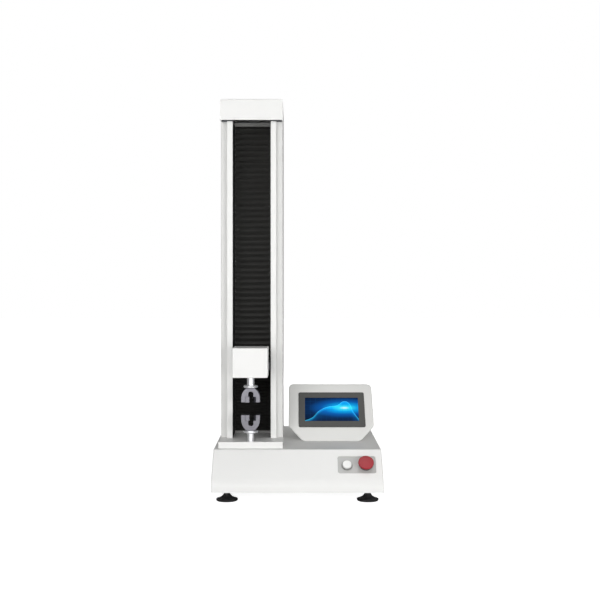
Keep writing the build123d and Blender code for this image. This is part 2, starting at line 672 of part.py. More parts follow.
def motor():
    """Square motor hung under its plate, with end bells and a blind hole for the shaft."""
    bell = 10.0
    low = MOTOR_PLATE_BOTTOM - MOTOR_LENGTH
    body = slab(MOTOR_SIZE - 3, MOTOR_SIZE - 3, bell, MOTOR_LENGTH - bell, 8)
    body += slab(MOTOR_SIZE, MOTOR_SIZE, 0, bell, 5)
    body += slab(MOTOR_SIZE, MOTOR_SIZE, MOTOR_LENGTH - bell, MOTOR_LENGTH, 5)
    body -= stub(MOTOR_SHAFT_RADIUS + RUNNING_CLEARANCE, 10, MOTOR_LENGTH)
    return Pos(MOTOR_X, SCREW_Y, low) * body


def motor_shaft():
    """Motor shaft with the small pulley on it."""
    low = MOTOR_PLATE_BOTTOM - MOTOR_LENGTH + 10 + MOVING_GAP
    shaft = post(MOTOR_X, SCREW_Y, low, PULLEY_TOP, MOTOR_SHAFT_RADIUS)
    wheel = pulley(MOTOR_PULLEY_TEETH, MOTOR_SHAFT_RADIUS - 1)
    return shaft + Pos(MOTOR_X, SCREW_Y, PULLEY_BOTTOM) * wheel


def belt_loop(growth):
    """Outline of a loop round both pulleys, growth outside their tooth tips."""
    wheels = Circle(SCREW_PULLEY_RADIUS + growth).edges()
    wheels += (Pos(BELT_CENTRES, 0) * Circle(MOTOR_PULLEY_RADIUS + growth)).edges()
    return make_hull(wheels)


def timing_belt():
    """Closed belt between the motor pulley and the screw pulley."""
    loop = belt_loop(MOVING_GAP + BELT_THICKNESS) - belt_loop(MOVING_GAP)
    low = PULLEY_BOTTOM + PULLEY_FLANGE_THICKNESS + LOOSE_GAP
    return Pos(COLUMN_X, SCREW_Y, low) * extrude(loop, amount=BELT_WIDTH)


def power_supply():
    """Boxed supply on the floor sheet, with a terminal shelf and vent holes."""
    case = block(55, 155, -100, 100, FLOOR_SHEET_TOP, FLOOR_SHEET_TOP + 40)
    case -= block(58, 152, -100, -84, FLOOR_SHEET_TOP + 16, FLOOR_SHEET_TOP + 40)
    vent = stub(3, FLOOR_SHEET_TOP + 36, FLOOR_SHEET_TOP + 40)
    vents = [Pos(x, y, 0) * vent for x in range(75, 141, 15) for y in range(-30, 61, 15)]
    return case - vents


def controller_board():
    """Drive and measuring board on four posts."""
    board_z = FLOOR_SHEET_TOP + 8
    board = block(-150, -25, -105, 5, board_z, board_z + 1.6)
    for x in (-145, -30):
        for y in (-100, 0):
            board += post(x, y, FLOOR_SHEET_TOP, board_z, 3)
    board += block(-140, -95, -95, -60, board_z + 1.6, board_z + 24)
    board += block(-80, -45, -90, -55, board_z + 1.6, board_z + 6)
    board += block(-148, -128, -40, -5, board_z + 1.6, board_z + 13)
    for x in (-100, -80, -60):
        board += post(x, -20, board_z + 1.6, board_z + 22, 7)
    return board


# Crosshead


def crosshead_cover():
    """Five-sided sheet box round the load cell, open towards the column."""
    cover = column_block(
        COVER_WIDTH / 2, COVER_FRONT_Y, COVER_REAR_Y, COVER_BOTTOM_Z, COVER_TOP_Z
    )
    rear_face = cover.faces().sort_by(Axis.Y)[-1]
    kept_sharp = rear_face.edges()
    round_edges = [edge for edge in cover.edges() if edge not in kept_sharp]
    cover = fillet(round_edges, COVER_EDGE_RADIUS)
    cover -= column_block(
        COVER_WIDTH / 2 - COVER_SHEET,
        COVER_FRONT_Y + COVER_SHEET,
        COVER_REAR_Y,
        COVER_BOTTOM_Z + COVER_SHEET,
        COVER_TOP_Z - COVER_SHEET,
    )
    hole_top = COVER_BOTTOM_Z + COVER_SHEET
    return cover - post(COLUMN_X, AXIS_Y, COVER_BOTTOM_Z, hole_top, UPPER_ROD_RADIUS + 1.5)


def crosshead_arm():
    """Arm from the carriage, with the plate and shelf that carry the load cell."""
    arm = column_block(ARM_WIDTH / 2, COVER_REAR_Y, CARRIAGE_FRONT_Y, ARM_BOTTOM_Z, ARM_TOP_Z)
    inner = COVER_WIDTH / 2 - COVER_SHEET - MOVING_GAP
    plate_front = COVER_REAR_Y - CELL_BRACKET_THICKNESS
    plate_low = COVER_BOTTOM_Z + COVER_SHEET + MOVING_GAP
    plate_high = COVER_TOP_Z - COVER_SHEET - MOVING_GAP
    arm += column_block(inner, plate_front, COVER_REAR_Y, plate_low, plate_high)
    shelf_front = AXIS_Y - CELL_DEPTH
    shelf_top = CELL_SHELF_BOTTOM + CELL_SHELF_THICKNESS
    arm += column_block(
        CELL_SHELF_WIDTH / 2, shelf_front, plate_front, CELL_SHELF_BOTTOM, shelf_top
    )
    gusset_side = 22.0
    low_corner = (plate_front, CELL_SHELF_BOTTOM - gusset_side)
    gusset = make_face(
        Plane.YZ
        * Polyline(
            low_corner,
            (plate_front, CELL_SHELF_BOTTOM),
            (plate_front - gusset_side, CELL_SHELF_BOTTOM),
            close=True,
        )
    )
    for side in (-1, 1):
        middle = COLUMN_X + side * (CELL_SHELF_WIDTH / 2 - 3)
        arm += Pos(middle, 0, 0) * extrude(gusset, amount=3, both=True)
    return arm


def load_cell():
    """S-shaped load cell: a block cut by two opposite slots, with its gauge holes."""
    middle = (CELL_BOTTOM + CELL_SHELF_BOTTOM) / 2
    height = CELL_SHELF_BOTTOM - CELL_BOTTOM
    body = Box(CELL_WIDTH, CELL_DEPTH, height)
    reach = CELL_WIDTH * 0.78
    for side in (-1, 1):
        slot_z = side * (height / 2 - 12)
        slot = Box(reach, CELL_DEPTH, CELL_SLOT)
        body -= Pos(side * (CELL_WIDTH - reach) / 2, 0, slot_z) * slot
    for x in (-CELL_HOLE_RADIUS + 0.5, CELL_HOLE_RADIUS - 0.5):
        body -= Pos(x, 0, 0) * Rot(90, 0, 0) * Cylinder(CELL_HOLE_RADIUS, CELL_DEPTH)
    return Pos(COLUMN_X, AXIS_Y, middle) * body


def carriage_plate():
    """Plate on the four guide blocks, with a bored boss for the nut."""
    half_height = CARRIAGE_HEIGHT / 2
    low = CARRIAGE_MID_Z - half_height
    high = CARRIAGE_MID_Z + half_height
    plate = column_block(CARRIAGE_WIDTH / 2, CARRIAGE_FRONT_Y, CARRIAGE_REAR_Y, low, high)
    boss_low = CARRIAGE_MID_Z - NUT_LENGTH / 2 + NUT_FLANGE_THICKNESS
    boss_high = CARRIAGE_MID_Z + NUT_LENGTH / 2
    boss_rear = SCREW_Y + NUT_RADIUS + 3.5
    boss = column_block(NUT_BOSS_WIDTH / 2, CARRIAGE_REAR_Y, boss_rear, boss_low, boss_high)
    plate += boss
    return plate - post(COLUMN_X, SCREW_Y, boss_low, boss_high, NUT_RADIUS)


def rail_blocks():
    """Four guide blocks that run on the rails."""
    block_front = CARRIAGE_REAR_Y
    block_rear = CARRIAGE_REAR_Y + BLOCK_HEIGHT
    far = CARRIAGE_HEIGHT / 2
    near = far - BLOCK_LENGTH
    outline = Pos(0, (block_front + block_rear) / 2) * RectangleRounded(
        BLOCK_WIDTH, BLOCK_HEIGHT, 2
    )
    outline -= rail_section(MOVING_GAP)
    runner = extrude(outline, amount=BLOCK_LENGTH)
    places = [
        (COLUMN_X + side * RAIL_SPACING / 2, z)
        for side in (-1, 1)
        for z in (CARRIAGE_MID_Z - far, CARRIAGE_MID_Z + near)
    ]
    return Compound([Pos(x, 0, z) * runner for x, z in places])


def ball_nut():
    """Flanged nut in the carriage's boss, its flange cut flat at both sides."""
    low = CARRIAGE_MID_Z - NUT_LENGTH / 2
    flange_top = low + NUT_FLANGE_THICKNESS
    flange = post(COLUMN_X, SCREW_Y, low, flange_top, NUT_FLANGE_RADIUS)
    flats = NUT_RADIUS + 3
    flange &= column_block(
        NUT_FLANGE_RADIUS, SCREW_Y - flats, SCREW_Y + flats, low, flange_top
    )
    nut = flange + post(COLUMN_X, SCREW_Y, flange_top, low + NUT_LENGTH, NUT_RADIUS)
    bore = SCREW_RADIUS + RUNNING_CLEARANCE
    return nut - post(COLUMN_X, SCREW_Y, low, low + NUT_LENGTH, bore)


# Bellows


def bellows(low, high):
    """Folded cloth curtain between two heights."""
    half_pitch = (high - low) / (2 * BELLOWS_FOLDS)
    front = []
    for step in range(2 * BELLOWS_FOLDS + 1):
        depth = BELLOWS_FRONT_Y if step % 2 else BELLOWS_FRONT_Y + BELLOWS_DEPTH - BELLOWS_CLOTH
        front.append((depth, low + step * half_pitch))
    back = [(y + BELLOWS_CLOTH, z) for y, z in reversed(front)]
    section = make_face(Plane.YZ * Polyline(*front, *back, close=True))
    half = HALF_CHANNEL - BELLOWS_SIDE_GAP
    return Pos(COLUMN_X, 0, 0) * extrude(section, amount=half, both=True)


def upper_bellows():
    return bellows(ARM_TOP_Z + BELLOWS_BAR_HEIGHT, COLUMN_TOP_Z + 1)


def lower_bellows():
    return bellows(BED_TOP + BELLOWS_BAR_HEIGHT, ARM_BOTTOM_Z - BELLOWS_BAR_HEIGHT)


def bellows_bar(low, high):
    """Clamping bar at one end of a bellows."""
    rear = CARRIAGE_FRONT_Y
    half = HALF_CHANNEL - LOOSE_GAP
    return column_block(half, rear - BELLOWS_BAR_DEPTH, rear, low, high)


def column_bellows_bars():
    """Bars that hold the far ends of the bellows: one at the head, one on the bed."""
    top_low = COLUMN_TOP_Z + 1
    top = bellows_bar(top_low, top_low + BELLOWS_TOP_BAR_HEIGHT)
    bottom = bellows_bar(BED_TOP, BED_TOP + BELLOWS_BAR_HEIGHT)
    return Compound([top, bottom])


def carriage_bellows_bars():
    """Bars on the arm, above and below it, that hold the moving ends of the bellows."""
    upper = bellows_bar(ARM_TOP_Z, ARM_TOP_Z + BELLOWS_BAR_HEIGHT)
    lower = bellows_bar(ARM_BOTTOM_Z - BELLOWS_BAR_HEIGHT, ARM_BOTTOM_Z)
    return Compound([upper, lower])


# Adapters and lock rings


def upper_adapter():
    """Rod from the load cell down to the upper grip."""
    return post(COLUMN_X, AXIS_Y, UPPER_ROD_END_Z, CELL_BOTTOM, UPPER_ROD_RADIUS)


def lower_adapter():
    """Rod from the bed up to the lower grip, its spigot in the bed plate."""
    rod = post(COLUMN_X, AXIS_Y, BED_TOP, LOWER_ROD_END_Z, LOWER_ROD_RADIUS)
    return rod + post(COLUMN_X, AXIS_Y, BED_TOP - ROD_SPIGOT_LENGTH, BED_TOP, ROD_SPIGOT_RADIUS)


def lock_ring(rod_radius):
    """Hand ring on a rod, standing on Z = 0: hub, thin web and a round rim."""
    bore = rod_radius + RUNNING_CLEARANCE
    hub = bore + LOCK_RING_HUB_WALL
    rim = LOCK_RING_HEIGHT / 2
    ring = stub(hub, 0, LOCK_RING_HEIGHT)
    web_low = (LOCK_RING_HEIGHT - LOCK_RING_WEB) / 2
    ring += stub(LOCK_RING_RADIUS - rim, web_low, web_low + LOCK_RING_WEB)
    ring += Pos(0, 0, rim) * Torus(LOCK_RING_RADIUS - rim, rim)
    return ring - stub(bore, 0, LOCK_RING_HEIGHT)


def upper_lock_ring():
    low = UPPER_ROD_END_Z + MOVING_GAP
    return Pos(COLUMN_X, AXIS_Y, low) * lock_ring(UPPER_ROD_RADIUS)


def lower_lock_ring():
    low = LOWER_ROD_END_Z - MOVING_GAP - LOCK_RING_HEIGHT
    return Pos(COLUMN_X, AXIS_Y, low) * lock_ring(LOWER_ROD_RADIUS)


# Grips, drawn with the mouth on Z = 0, opening downwards, and the test axis on X = Y = 0


def grip_yoke(height):
    """Domed yoke: a stepped throat, wide at the mouth, with a bore for the jaw screw."""
    half = GRIP_WIDTH / 2
    neck = GRIP_NECK_WIDTH / 2
    right_arc = TangentArc((half, GRIP_CHEEK_HEIGHT), (neck, height), tangent=(0, 1))
    left_arc = TangentArc((-half, GRIP_CHEEK_HEIGHT), (-neck, height), tangent=(0, 1))
    outline = Curve() + [
        Line((-half, 0), (half, 0)),
        Line((half, 0), (half, GRIP_CHEEK_HEIGHT)),
        right_arc,
        Line((neck, height), (-neck, height)),
        left_arc,
        Line((-half, GRIP_CHEEK_HEIGHT), (-half, 0)),
    ]
    face = make_face(outline)
    seat = GRIP_WIDTH - 2 * GRIP_ARM
    face -= Pos(0, GRIP_SEAT_HEIGHT / 2) * Rectangle(seat, GRIP_SEAT_HEIGHT)
    end = GRIP_SLOT_WIDTH / 2
    slot = Pos(0, GRIP_SLOT_HEIGHT / 2) * Rectangle(GRIP_SLOT_WIDTH, GRIP_SLOT_HEIGHT)
    top_corners = slot.vertices().group_by(Axis.Y)[-1]
    slot = fillet(top_corners, end * 0.8)
    face -= Pos(GRIP_SLOT_SHIFT, 0) * slot
    yoke = extrude(Plane.XZ * face, amount=GRIP_DEPTH / 2, both=True)
    yoke = chamfer(yoke.faces().sort_by(Axis.Y)[0].outer_wire().edges(), 0.6)
    screw_z = GRIP_SEAT_HEIGHT / 2
    shank = JAW_SCREW_RADIUS + RUNNING_CLEARANCE
    head = JAW_SCREW_HEAD_RADIUS + RUNNING_CLEARANCE
    pocket = JAW_SCREW_HEAD_HEIGHT + MOVING_GAP
    along = Pos(-half, 0, screw_z) * Rot(0, 90, 0)
    return yoke - along * stub(shank, 0, GRIP_ARM) - along * stub(head, 0, pocket)


def toothed(jaw, face_x):
    """Cut cross grooves into a jaw's clamping face, which faces along X."""
    count = int((GRIP_SEAT_HEIGHT - 2) / TOOTH_PITCH)
    ridge = Rot(0, 45, 0) * Box(TOOTH_DEPTH * 1.414, GRIP_DEPTH, TOOTH_DEPTH * 1.414)
    start = (GRIP_SEAT_HEIGHT - (count - 1) * TOOTH_PITCH) / 2
    grooves = [Pos(face_x, 0, start + number * TOOTH_PITCH) * ridge for number in range(count)]
    return jaw - grooves


def moving_jaw_block():
    """Jaw that the screw drives across the mouth."""
    low = JAW_SEAT_X + MOVING_GAP
    high = low + JAW_WIDTH
    depth = GRIP_DEPTH / 2
    jaw = block(low, high, -depth, depth, 0, GRIP_SEAT_HEIGHT - MOVING_GAP)
    jaw = toothed(jaw, high)
    bore = JAW_SCREW_RADIUS + RUNNING_CLEARANCE
    along = Pos(low, 0, GRIP_SEAT_HEIGHT / 2) * Rot(0, 90, 0)
    return jaw - along * stub(bore, 0, JAW_WIDTH - 2)


def fixed_insert_block():
    """Toothed insert seated in the yoke's far arm."""
    high = -JAW_SEAT_X
    low = high - INSERT_THICKNESS
    depth = GRIP_DEPTH / 2
    insert = block(low, high, -depth, depth, 0, GRIP_SEAT_HEIGHT)
    return toothed(insert, low)


def jaw_screw_shaft():
    """Socket screw held in the arm: it turns in place and draws the jaw along."""
    start = -GRIP_WIDTH / 2 + 0.2
    end = JAW_SEAT_X + MOVING_GAP + JAW_WIDTH - 2 - MOVING_GAP
    along = Pos(start, 0, GRIP_SEAT_HEIGHT / 2) * Rot(0, 90, 0)
    screw = stub(JAW_SCREW_HEAD_RADIUS, 0, JAW_SCREW_HEAD_HEIGHT)
    screw += stub(JAW_SCREW_RADIUS, JAW_SCREW_HEAD_HEIGHT, end - start)
    socket = RegularPolygon(HEX_KEY / 2, 6, major_radius=False)
    screw -= extrude(socket, amount=JAW_SCREW_HEAD_HEIGHT * 0.6)
    return along * screw


def in_upper_grip(piece):
    return Pos(COLUMN_X, AXIS_Y, UPPER_GRIP_MOUTH_Z) * piece


def in_lower_grip(piece):
    return Pos(COLUMN_X, AXIS_Y, LOWER_GRIP_MOUTH_Z) * mirror(piece, Plane.XY)


# Display console


def console_outline(inset=0.0):
    """Front view of the console on its own plane: square top, cut bottom corners."""
    half = CONSOLE_WIDTH / 2
    corners = Polyline(
        (-half + CONSOLE_CHAMFER_WIDTH, 0),
        (half - CONSOLE_CHAMFER_WIDTH, 0),
        (half, CONSOLE_CHAMFER_HEIGHT),
        (half, CONSOLE_SLOPE_LENGTH),
        (-half, CONSOLE_SLOPE_LENGTH),
        (-half, CONSOLE_CHAMFER_HEIGHT),
        close=True,
    )
    outline = make_face(corners)
    rows = outline.vertices().group_by(Axis.Y)
    outline = fillet(rows[-1], CONSOLE_TOP_RADIUS)
    lower = outline.vertices().filter_by_position(Axis.Y, -1, CONSOLE_CHAMFER_HEIGHT + 1)
    outline = fillet(lower, CONSOLE_CHAMFER_RADIUS)
    return offset(outline, -inset) if inset else outline


def above_deck():
    """The room above the deck round the console."""
    reach = CONSOLE_SLOPE_LENGTH + CONSOLE_THICKNESS
    half = CONSOLE_WIDTH
    near = CONSOLE_FRONT_Y - reach
    far = CONSOLE_FRONT_Y + 2 * reach
    return block(CONSOLE_X - half, CONSOLE_X + half, near, far, DECK_Z, DECK_Z + 2 * reach)


def console_front():
    """Front shell of the console with the window for the display."""
    shell = extrude(console_outline(), amount=-CONSOLE_THICKNESS)
    rim = shell.faces().sort_by(Axis.Z)[-1].edges()
    shell = fillet(rim, CONSOLE_EDGE_RADIUS)
    cavity_depth = CONSOLE_THICKNESS - CONSOLE_WALL
    cavity = extrude(console_outline(CONSOLE_WALL), amount=-cavity_depth)
    shell -= Pos(0, 0, -CONSOLE_WALL) * cavity
    lip = 2 * BEZEL_LIP
    window = slab(BEZEL_WIDTH - lip, BEZEL_HEIGHT - lip, -CONSOLE_WALL, 0, 2)
    shell -= BEZEL_PLACE * window
    return (CONSOLE_PLANE * shell) & above_deck()


def console_stand():
    """Back of the console: a closing plate and the hollow wedge it leans on."""
    back = Pos(0, 0, -CONSOLE_THICKNESS) * console_outline()
    plate = CONSOLE_PLANE * extrude(back, amount=-CONSOLE_BACK_THICKNESS)
    behind = CONSOLE_THICKNESS + CONSOLE_BACK_THICKNESS / 2
    lean = radians(CONSOLE_LEAN)
    foot_y = CONSOLE_FRONT_Y + behind / cos(lean)
    top_y = foot_y + STAND_REACH * sin(lean)
    top_z = DECK_Z + STAND_REACH * cos(lean)
    rear_y = foot_y + STAND_FOOT_DEPTH
    side_view = make_face(
        Plane.YZ
        * Polyline(
            (foot_y, DECK_Z), (top_y, top_z), (rear_y, DECK_Z + 30), (rear_y, DECK_Z), close=True
        )
    )
    wedge = extrude(side_view, amount=STAND_WIDTH / 2, both=True)
    hollow = extrude(
        offset(side_view, -CONSOLE_WALL), amount=STAND_WIDTH / 2 - CONSOLE_WALL, both=True
    )
    return (plate & above_deck()) + Pos(CONSOLE_X, 0, 0) * (wedge - hollow)


def display_bezel():
    """Display housing: flat frame outside, box inside, with a seat for the screen."""
    frame = slab(BEZEL_WIDTH, BEZEL_HEIGHT, 0, BEZEL_PROUD, BEZEL_RADIUS)
    frame = fillet(frame.faces().sort_by(Axis.Z)[-1].edges(), 1.2)
    body_gap = 2 * (BEZEL_LIP + 0.5)
    body = slab(BEZEL_WIDTH - body_gap, BEZEL_HEIGHT - body_gap, -DISPLAY_BODY_DEPTH, 0, 2)
    seat_low = BEZEL_PROUD - SCREEN_SUNK - SCREEN_THICKNESS
    seat = slab(SCREEN_WIDTH, SCREEN_HEIGHT, seat_low, BEZEL_PROUD)
    return CONSOLE_PLANE * (BEZEL_PLACE * (frame + body - seat))


def display_screen():
    """Touch screen in its seat."""
    low = BEZEL_PROUD - SCREEN_SUNK - SCREEN_THICKNESS
    glass = slab(SCREEN_WIDTH, SCREEN_HEIGHT, low, low + SCREEN_THICKNESS)
    return CONSOLE_PLANE * (BEZEL_PLACE * glass)


# Controls on the slope


def control_plate():
    """Plate behind the window in the slope, with a hole for each button."""
    lip = 2 * CONTROL_LIP
    under = -BASE_SHEET
    plate = slab(
        CONTROL_WIDTH + lip,
        CONTROL_LENGTH + lip,
        under - CONTROL_THICKNESS,
        under,
        CONTROL_RADIUS + CONTROL_LIP,
    )
    middle = CONTROL_FROM_CREASE + CONTROL_LENGTH / 2
    plate = on_slope(CONTROL_X, middle) * plate
    hole = stub(BARREL_RADIUS, under - CONTROL_THICKNESS, under)
    for x in (START_X, ESTOP_X):
        plate -= on_slope(x, BUTTON_FROM_CREASE) * hole
    return plate


def button_barrel(bore, rim_radius, rim_height):
    """Panel barrel of a push-button: a rim outside, a threaded tube inside."""
    face = -BASE_SHEET
    rim = stub(rim_radius, face, face + rim_height)
    rim = chamfer(rim.edges().sort_by(Axis.Z)[-1], 0.8)
    barrel = rim + stub(BARREL_RADIUS, face - BARREL_LENGTH, face)
    return barrel - stub(bore, face - BARREL_LENGTH + 3, face + rim_height)


def start_bezel():
    """Barrel and rim of the start button."""
    bore = START_CAP_RADIUS - 3 + 0.2
    barrel = button_barrel(bore, START_BEZEL_RADIUS, START_BEZEL_HEIGHT)
    well = START_TRAVEL + MOVING_GAP
    face = -BASE_SHEET
    top = face + START_BEZEL_HEIGHT
    barrel -= stub(START_CAP_RADIUS + 0.2, top - well, top)
    return on_slope(START_X, BUTTON_FROM_CREASE) * barrel


def start_button():
    """Cap of the start button with its plunger."""
    face = -BASE_SHEET
    cap_low = face + START_BEZEL_HEIGHT
    cap = stub(START_CAP_RADIUS, cap_low, face + START_CAP_HEIGHT)
    cap = fillet(cap.edges().sort_by(Axis.Z)[-1], 1.2)
    cap += stub(START_CAP_RADIUS - 3, face - BARREL_LENGTH + 8, cap_low)
    return on_slope(START_X, BUTTON_FROM_CREASE) * cap


def estop_collar():
    """Barrel and rim of the emergency stop."""
    barrel = button_barrel(
        ESTOP_STEM_RADIUS + RUNNING_CLEARANCE, ESTOP_COLLAR_RADIUS, ESTOP_COLLAR_HEIGHT
    )
    return on_slope(ESTOP_X, BUTTON_FROM_CREASE) * barrel


def estop_stem():
    """Plunger of the emergency stop, with the pin that its head turns on."""
    face = -BASE_SHEET
    shoulder = face + ESTOP_COLLAR_HEIGHT + ESTOP_TRAVEL + MOVING_GAP
    stem = stub(ESTOP_STEM_RADIUS, face - BARREL_LENGTH + 9, shoulder)
    stem += stub(ESTOP_PIN_RADIUS, shoulder, face + ESTOP_HEAD_TOP - 4)
    return on_slope(ESTOP_X, BUTTON_FROM_CREASE) * stem


def estop_head():
    """Red mushroom head: narrow neck, wide rounded rim and a low dome."""
    face = -BASE_SHEET
    low = face + ESTOP_COLLAR_HEIGHT + ESTOP_TRAVEL + 2 * MOVING_GAP
    top = face + ESTOP_HEAD_TOP
    side = Polyline(
        (0, low),
        (ESTOP_NECK_RADIUS, low),
        (ESTOP_NECK_RADIUS, low + 1.5),
        (ESTOP_HEAD_RADIUS, low + 4.5),
        (ESTOP_HEAD_RADIUS, top),
        (0, top),
        close=True,
    )
    head = revolve(Plane.XZ * make_face(side), Axis.Z)
    dome_radius = (ESTOP_HEAD_RADIUS**2 + ESTOP_DOME_RISE**2) / (2 * ESTOP_DOME_RISE)
    head &= Pos(0, 0, top - dome_radius) * Sphere(dome_radius)
    rims = head.edges().filter_by(GeomType.CIRCLE).sort_by(SortBy.RADIUS)[-2:]
    head = fillet(rims, 1.4)
    head -= stub(ESTOP_PIN_RADIUS + RUNNING_CLEARANCE, low, face + ESTOP_HEAD_TOP - 4 + MOVING_GAP)
    return on_slope(ESTOP_X, BUTTON_FROM_CREASE) * head


# Mains inlet, drawn facing +Z and then turned to face the rear


def to_rear():
    """Place of the inlet on the rear panel, its local Z towards the rear."""
    return Plane(origin=(INLET_X, PANEL_REAR_Y, INLET_Z), x_dir=(-1, 0, 0), z_dir=(0, 1, 0))


def power_inlet():
    """Inlet module: flange, body, three-blade socket and the switch's pocket."""
    module = slab(INLET_WIDTH, INLET_HEIGHT, 0, INLET_FLANGE, 3)
    lip = 2 * INLET_LIP
    module += slab(INLET_WIDTH - lip, INLET_HEIGHT - lip, -INLET_BODY_DEPTH, 0)
    socket = Rectangle(SOCKET_WIDTH, SOCKET_HEIGHT)
    lower = socket.vertices().group_by(Axis.Y)[-1]
    socket = chamfer(lower, 4)
    hollow = extrude(Pos(SOCKET_SHIFT, 0, INLET_FLANGE) * socket, amount=-SOCKET_DEPTH)
    module -= hollow
    floor = INLET_FLANGE - SOCKET_DEPTH
    for number in (-1, 0, 1):
        place = Pos(SOCKET_SHIFT + number * BLADE_PITCH, -1.5 if number else 3.0, floor)
        module += place * slab(BLADE_THICKNESS, BLADE_HEIGHT, 0, BLADE_LENGTH)
    pocket = slab(ROCKER_WIDTH + 0.6, ROCKER_HEIGHT + 0.6, -12, INLET_FLANGE)
    return to_rear() * (module - Pos(ROCKER_SHIFT, 0, 0) * pocket)


def power_rocker():
    """Rocker of the mains switch, tilted to off about its own axle."""
    half = ROCKER_HEIGHT / 2
    rise = (half - 1.0) * sin(radians(ROCKER_ANGLE / 2)) + 1.0
    side = Polyline(
        (-half + 1.0, -6),
        (half - 1.0, -6),
        (half - 0.7, rise),
        (0, 0.6),
        (-half + 0.7, rise),
        close=True,
    )
    rocker = extrude(make_face(Plane.YZ * side), amount=ROCKER_WIDTH / 2, both=True)
    tilted = Rot(ROCKER_ANGLE / 2, 0, 0) * rocker
    return to_rear() * (Pos(ROCKER_SHIFT, 0, INLET_FLANGE) * tilted)


NODES = {
    "base_shell": base_shell,
    "base_frame": base_frame,
    "bottom_plate": bottom_plate,
    "rear_panel": rear_panel,
    "foot_nuts": foot_nuts,
    "bed_plate": bed_plate,
    "left_upright": left_upright,
    "right_upright": right_upright,
    "guide_strips": guide_strips,
    "back_plate": back_plate,
    "linear_rails": linear_rails,
    "rear_cover": rear_cover,
    "head_plate": head_plate,
    "head_cap": head_cap,
    "bottom_bearing_housing": bottom_bearing_housing,
    "screw_bearings": screw_bearings,
    "ball_screw": ball_screw,
    "motor": motor,
    "motor_shaft": motor_shaft,
    "timing_belt": timing_belt,
    "power_supply": power_supply,
    "controller_board": controller_board,
    "crosshead_cover": crosshead_cover,
    "crosshead_arm": crosshead_arm,
    "load_cell": load_cell,
    "carriage_plate": carriage_plate,
    "rail_blocks": rail_blocks,
    "ball_nut": ball_nut,
    "upper_bellows": upper_bellows,
    "lower_bellows": lower_bellows,
    "column_bellows_bars": column_bellows_bars,
    "carriage_bellows_bars": carriage_bellows_bars,
    "upper_adapter": upper_adapter,
    "lower_adapter": lower_adapter,
    "upper_lock_ring": upper_lock_ring,
    "lower_lock_ring": lower_lock_ring,
    "console_front": console_front,
    "console_stand": console_stand,
    "display_bezel": display_bezel,
    "display_screen": display_screen,
    "control_plate": control_plate,
    "start_bezel": start_bezel,
    "start_button": start_button,
    "estop_collar": estop_collar,
    "estop_stem": estop_stem,
    "estop_head": estop_head,
    "power_inlet": power_inlet,
    "power_rocker": power_rocker,
    "upper_grip_yoke": lambda: in_upper_grip(grip_yoke(UPPER_GRIP_HEIGHT)),
    "lower_grip_yoke": lambda: in_lower_grip(grip_yoke(LOWER_GRIP_HEIGHT)),
    "upper_moving_jaw": lambda: in_upper_grip(moving_jaw_block()),
    "lower_moving_jaw": lambda: in_lower_grip(moving_jaw_block()),
    "upper_fixed_insert": lambda: in_upper_grip(fixed_insert_block()),
    "lower_fixed_insert": lambda: in_lower_grip(fixed_insert_block()),
    "upper_jaw_screw": lambda: in_upper_grip(jaw_screw_shaft()),
    "lower_jaw_screw": lambda: in_lower_grip(jaw_screw_shaft()),
    "front_left_foot": lambda: Pos(-FOOT_X, FOOT_FRONT_Y, 0) * foot(),
    "front_right_foot": lambda: Pos(FOOT_X, FOOT_FRONT_Y, 0) * foot(),
    "rear_left_foot": lambda: Pos(-FOOT_X, FOOT_REAR_Y, 0) * foot(),
    "rear_right_foot": lambda: Pos(FOOT_X, FOOT_REAR_Y, 0) * foot(),
}


def main():
    """Build every piece and write it to its own file."""
    os.makedirs("parts", exist_ok=True)
    for name, make in NODES.items():
        export_step(make(), f"parts/{name}.step")


main()
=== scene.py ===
"""Dresses the column testing machine: finishes, cloth, console, screws, light and camera."""

import logging
from collections.abc import Callable, Iterable, Iterator
from contextlib import contextmanager
from dataclasses import dataclass, field
from enum import Enum
from math import cos, pi, radians, sin

import bmesh
import bpy
from mathutils import Euler, Matrix, Vector


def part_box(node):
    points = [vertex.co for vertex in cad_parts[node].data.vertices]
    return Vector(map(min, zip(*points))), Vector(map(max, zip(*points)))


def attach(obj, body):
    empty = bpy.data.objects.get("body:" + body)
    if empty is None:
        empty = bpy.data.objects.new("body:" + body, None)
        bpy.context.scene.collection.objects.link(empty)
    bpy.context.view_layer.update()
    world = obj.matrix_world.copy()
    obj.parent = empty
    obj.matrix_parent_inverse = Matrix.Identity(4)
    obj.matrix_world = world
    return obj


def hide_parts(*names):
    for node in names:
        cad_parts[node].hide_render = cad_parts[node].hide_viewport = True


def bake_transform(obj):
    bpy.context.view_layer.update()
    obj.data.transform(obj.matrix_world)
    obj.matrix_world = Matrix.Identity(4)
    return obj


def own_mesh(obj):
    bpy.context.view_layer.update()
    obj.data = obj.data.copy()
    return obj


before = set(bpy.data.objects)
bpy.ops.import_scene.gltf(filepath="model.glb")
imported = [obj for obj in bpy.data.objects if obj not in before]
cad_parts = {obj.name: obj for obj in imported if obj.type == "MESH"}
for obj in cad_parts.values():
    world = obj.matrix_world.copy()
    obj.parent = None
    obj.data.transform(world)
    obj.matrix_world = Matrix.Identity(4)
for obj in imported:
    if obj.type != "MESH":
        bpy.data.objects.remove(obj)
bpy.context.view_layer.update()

LOG = logging.getLogger("testing_machine")
MM = 0.001
# How near two places are that count as one when parts of a mesh are picked.
CLOSE = 0.5 * MM
# Upward share of a face's normal from which the face counts as level.
LEVEL = 0.99
# Blender's wave pattern turns this many radians along one unit.
WAVE_TURN = 20.0
CONSOLE_LEAN = radians(44.0)
REAR = Vector((0, 1, 0))
DOWN = Vector((0, 0, -1))


class Axis(Enum):
    """Direction that a machining or brushing mark runs along."""

    X = (1.0, 0.0, 0.0)
    Y = (0.0, 1.0, 0.0)
    Z = (0.0, 0.0, 1.0)


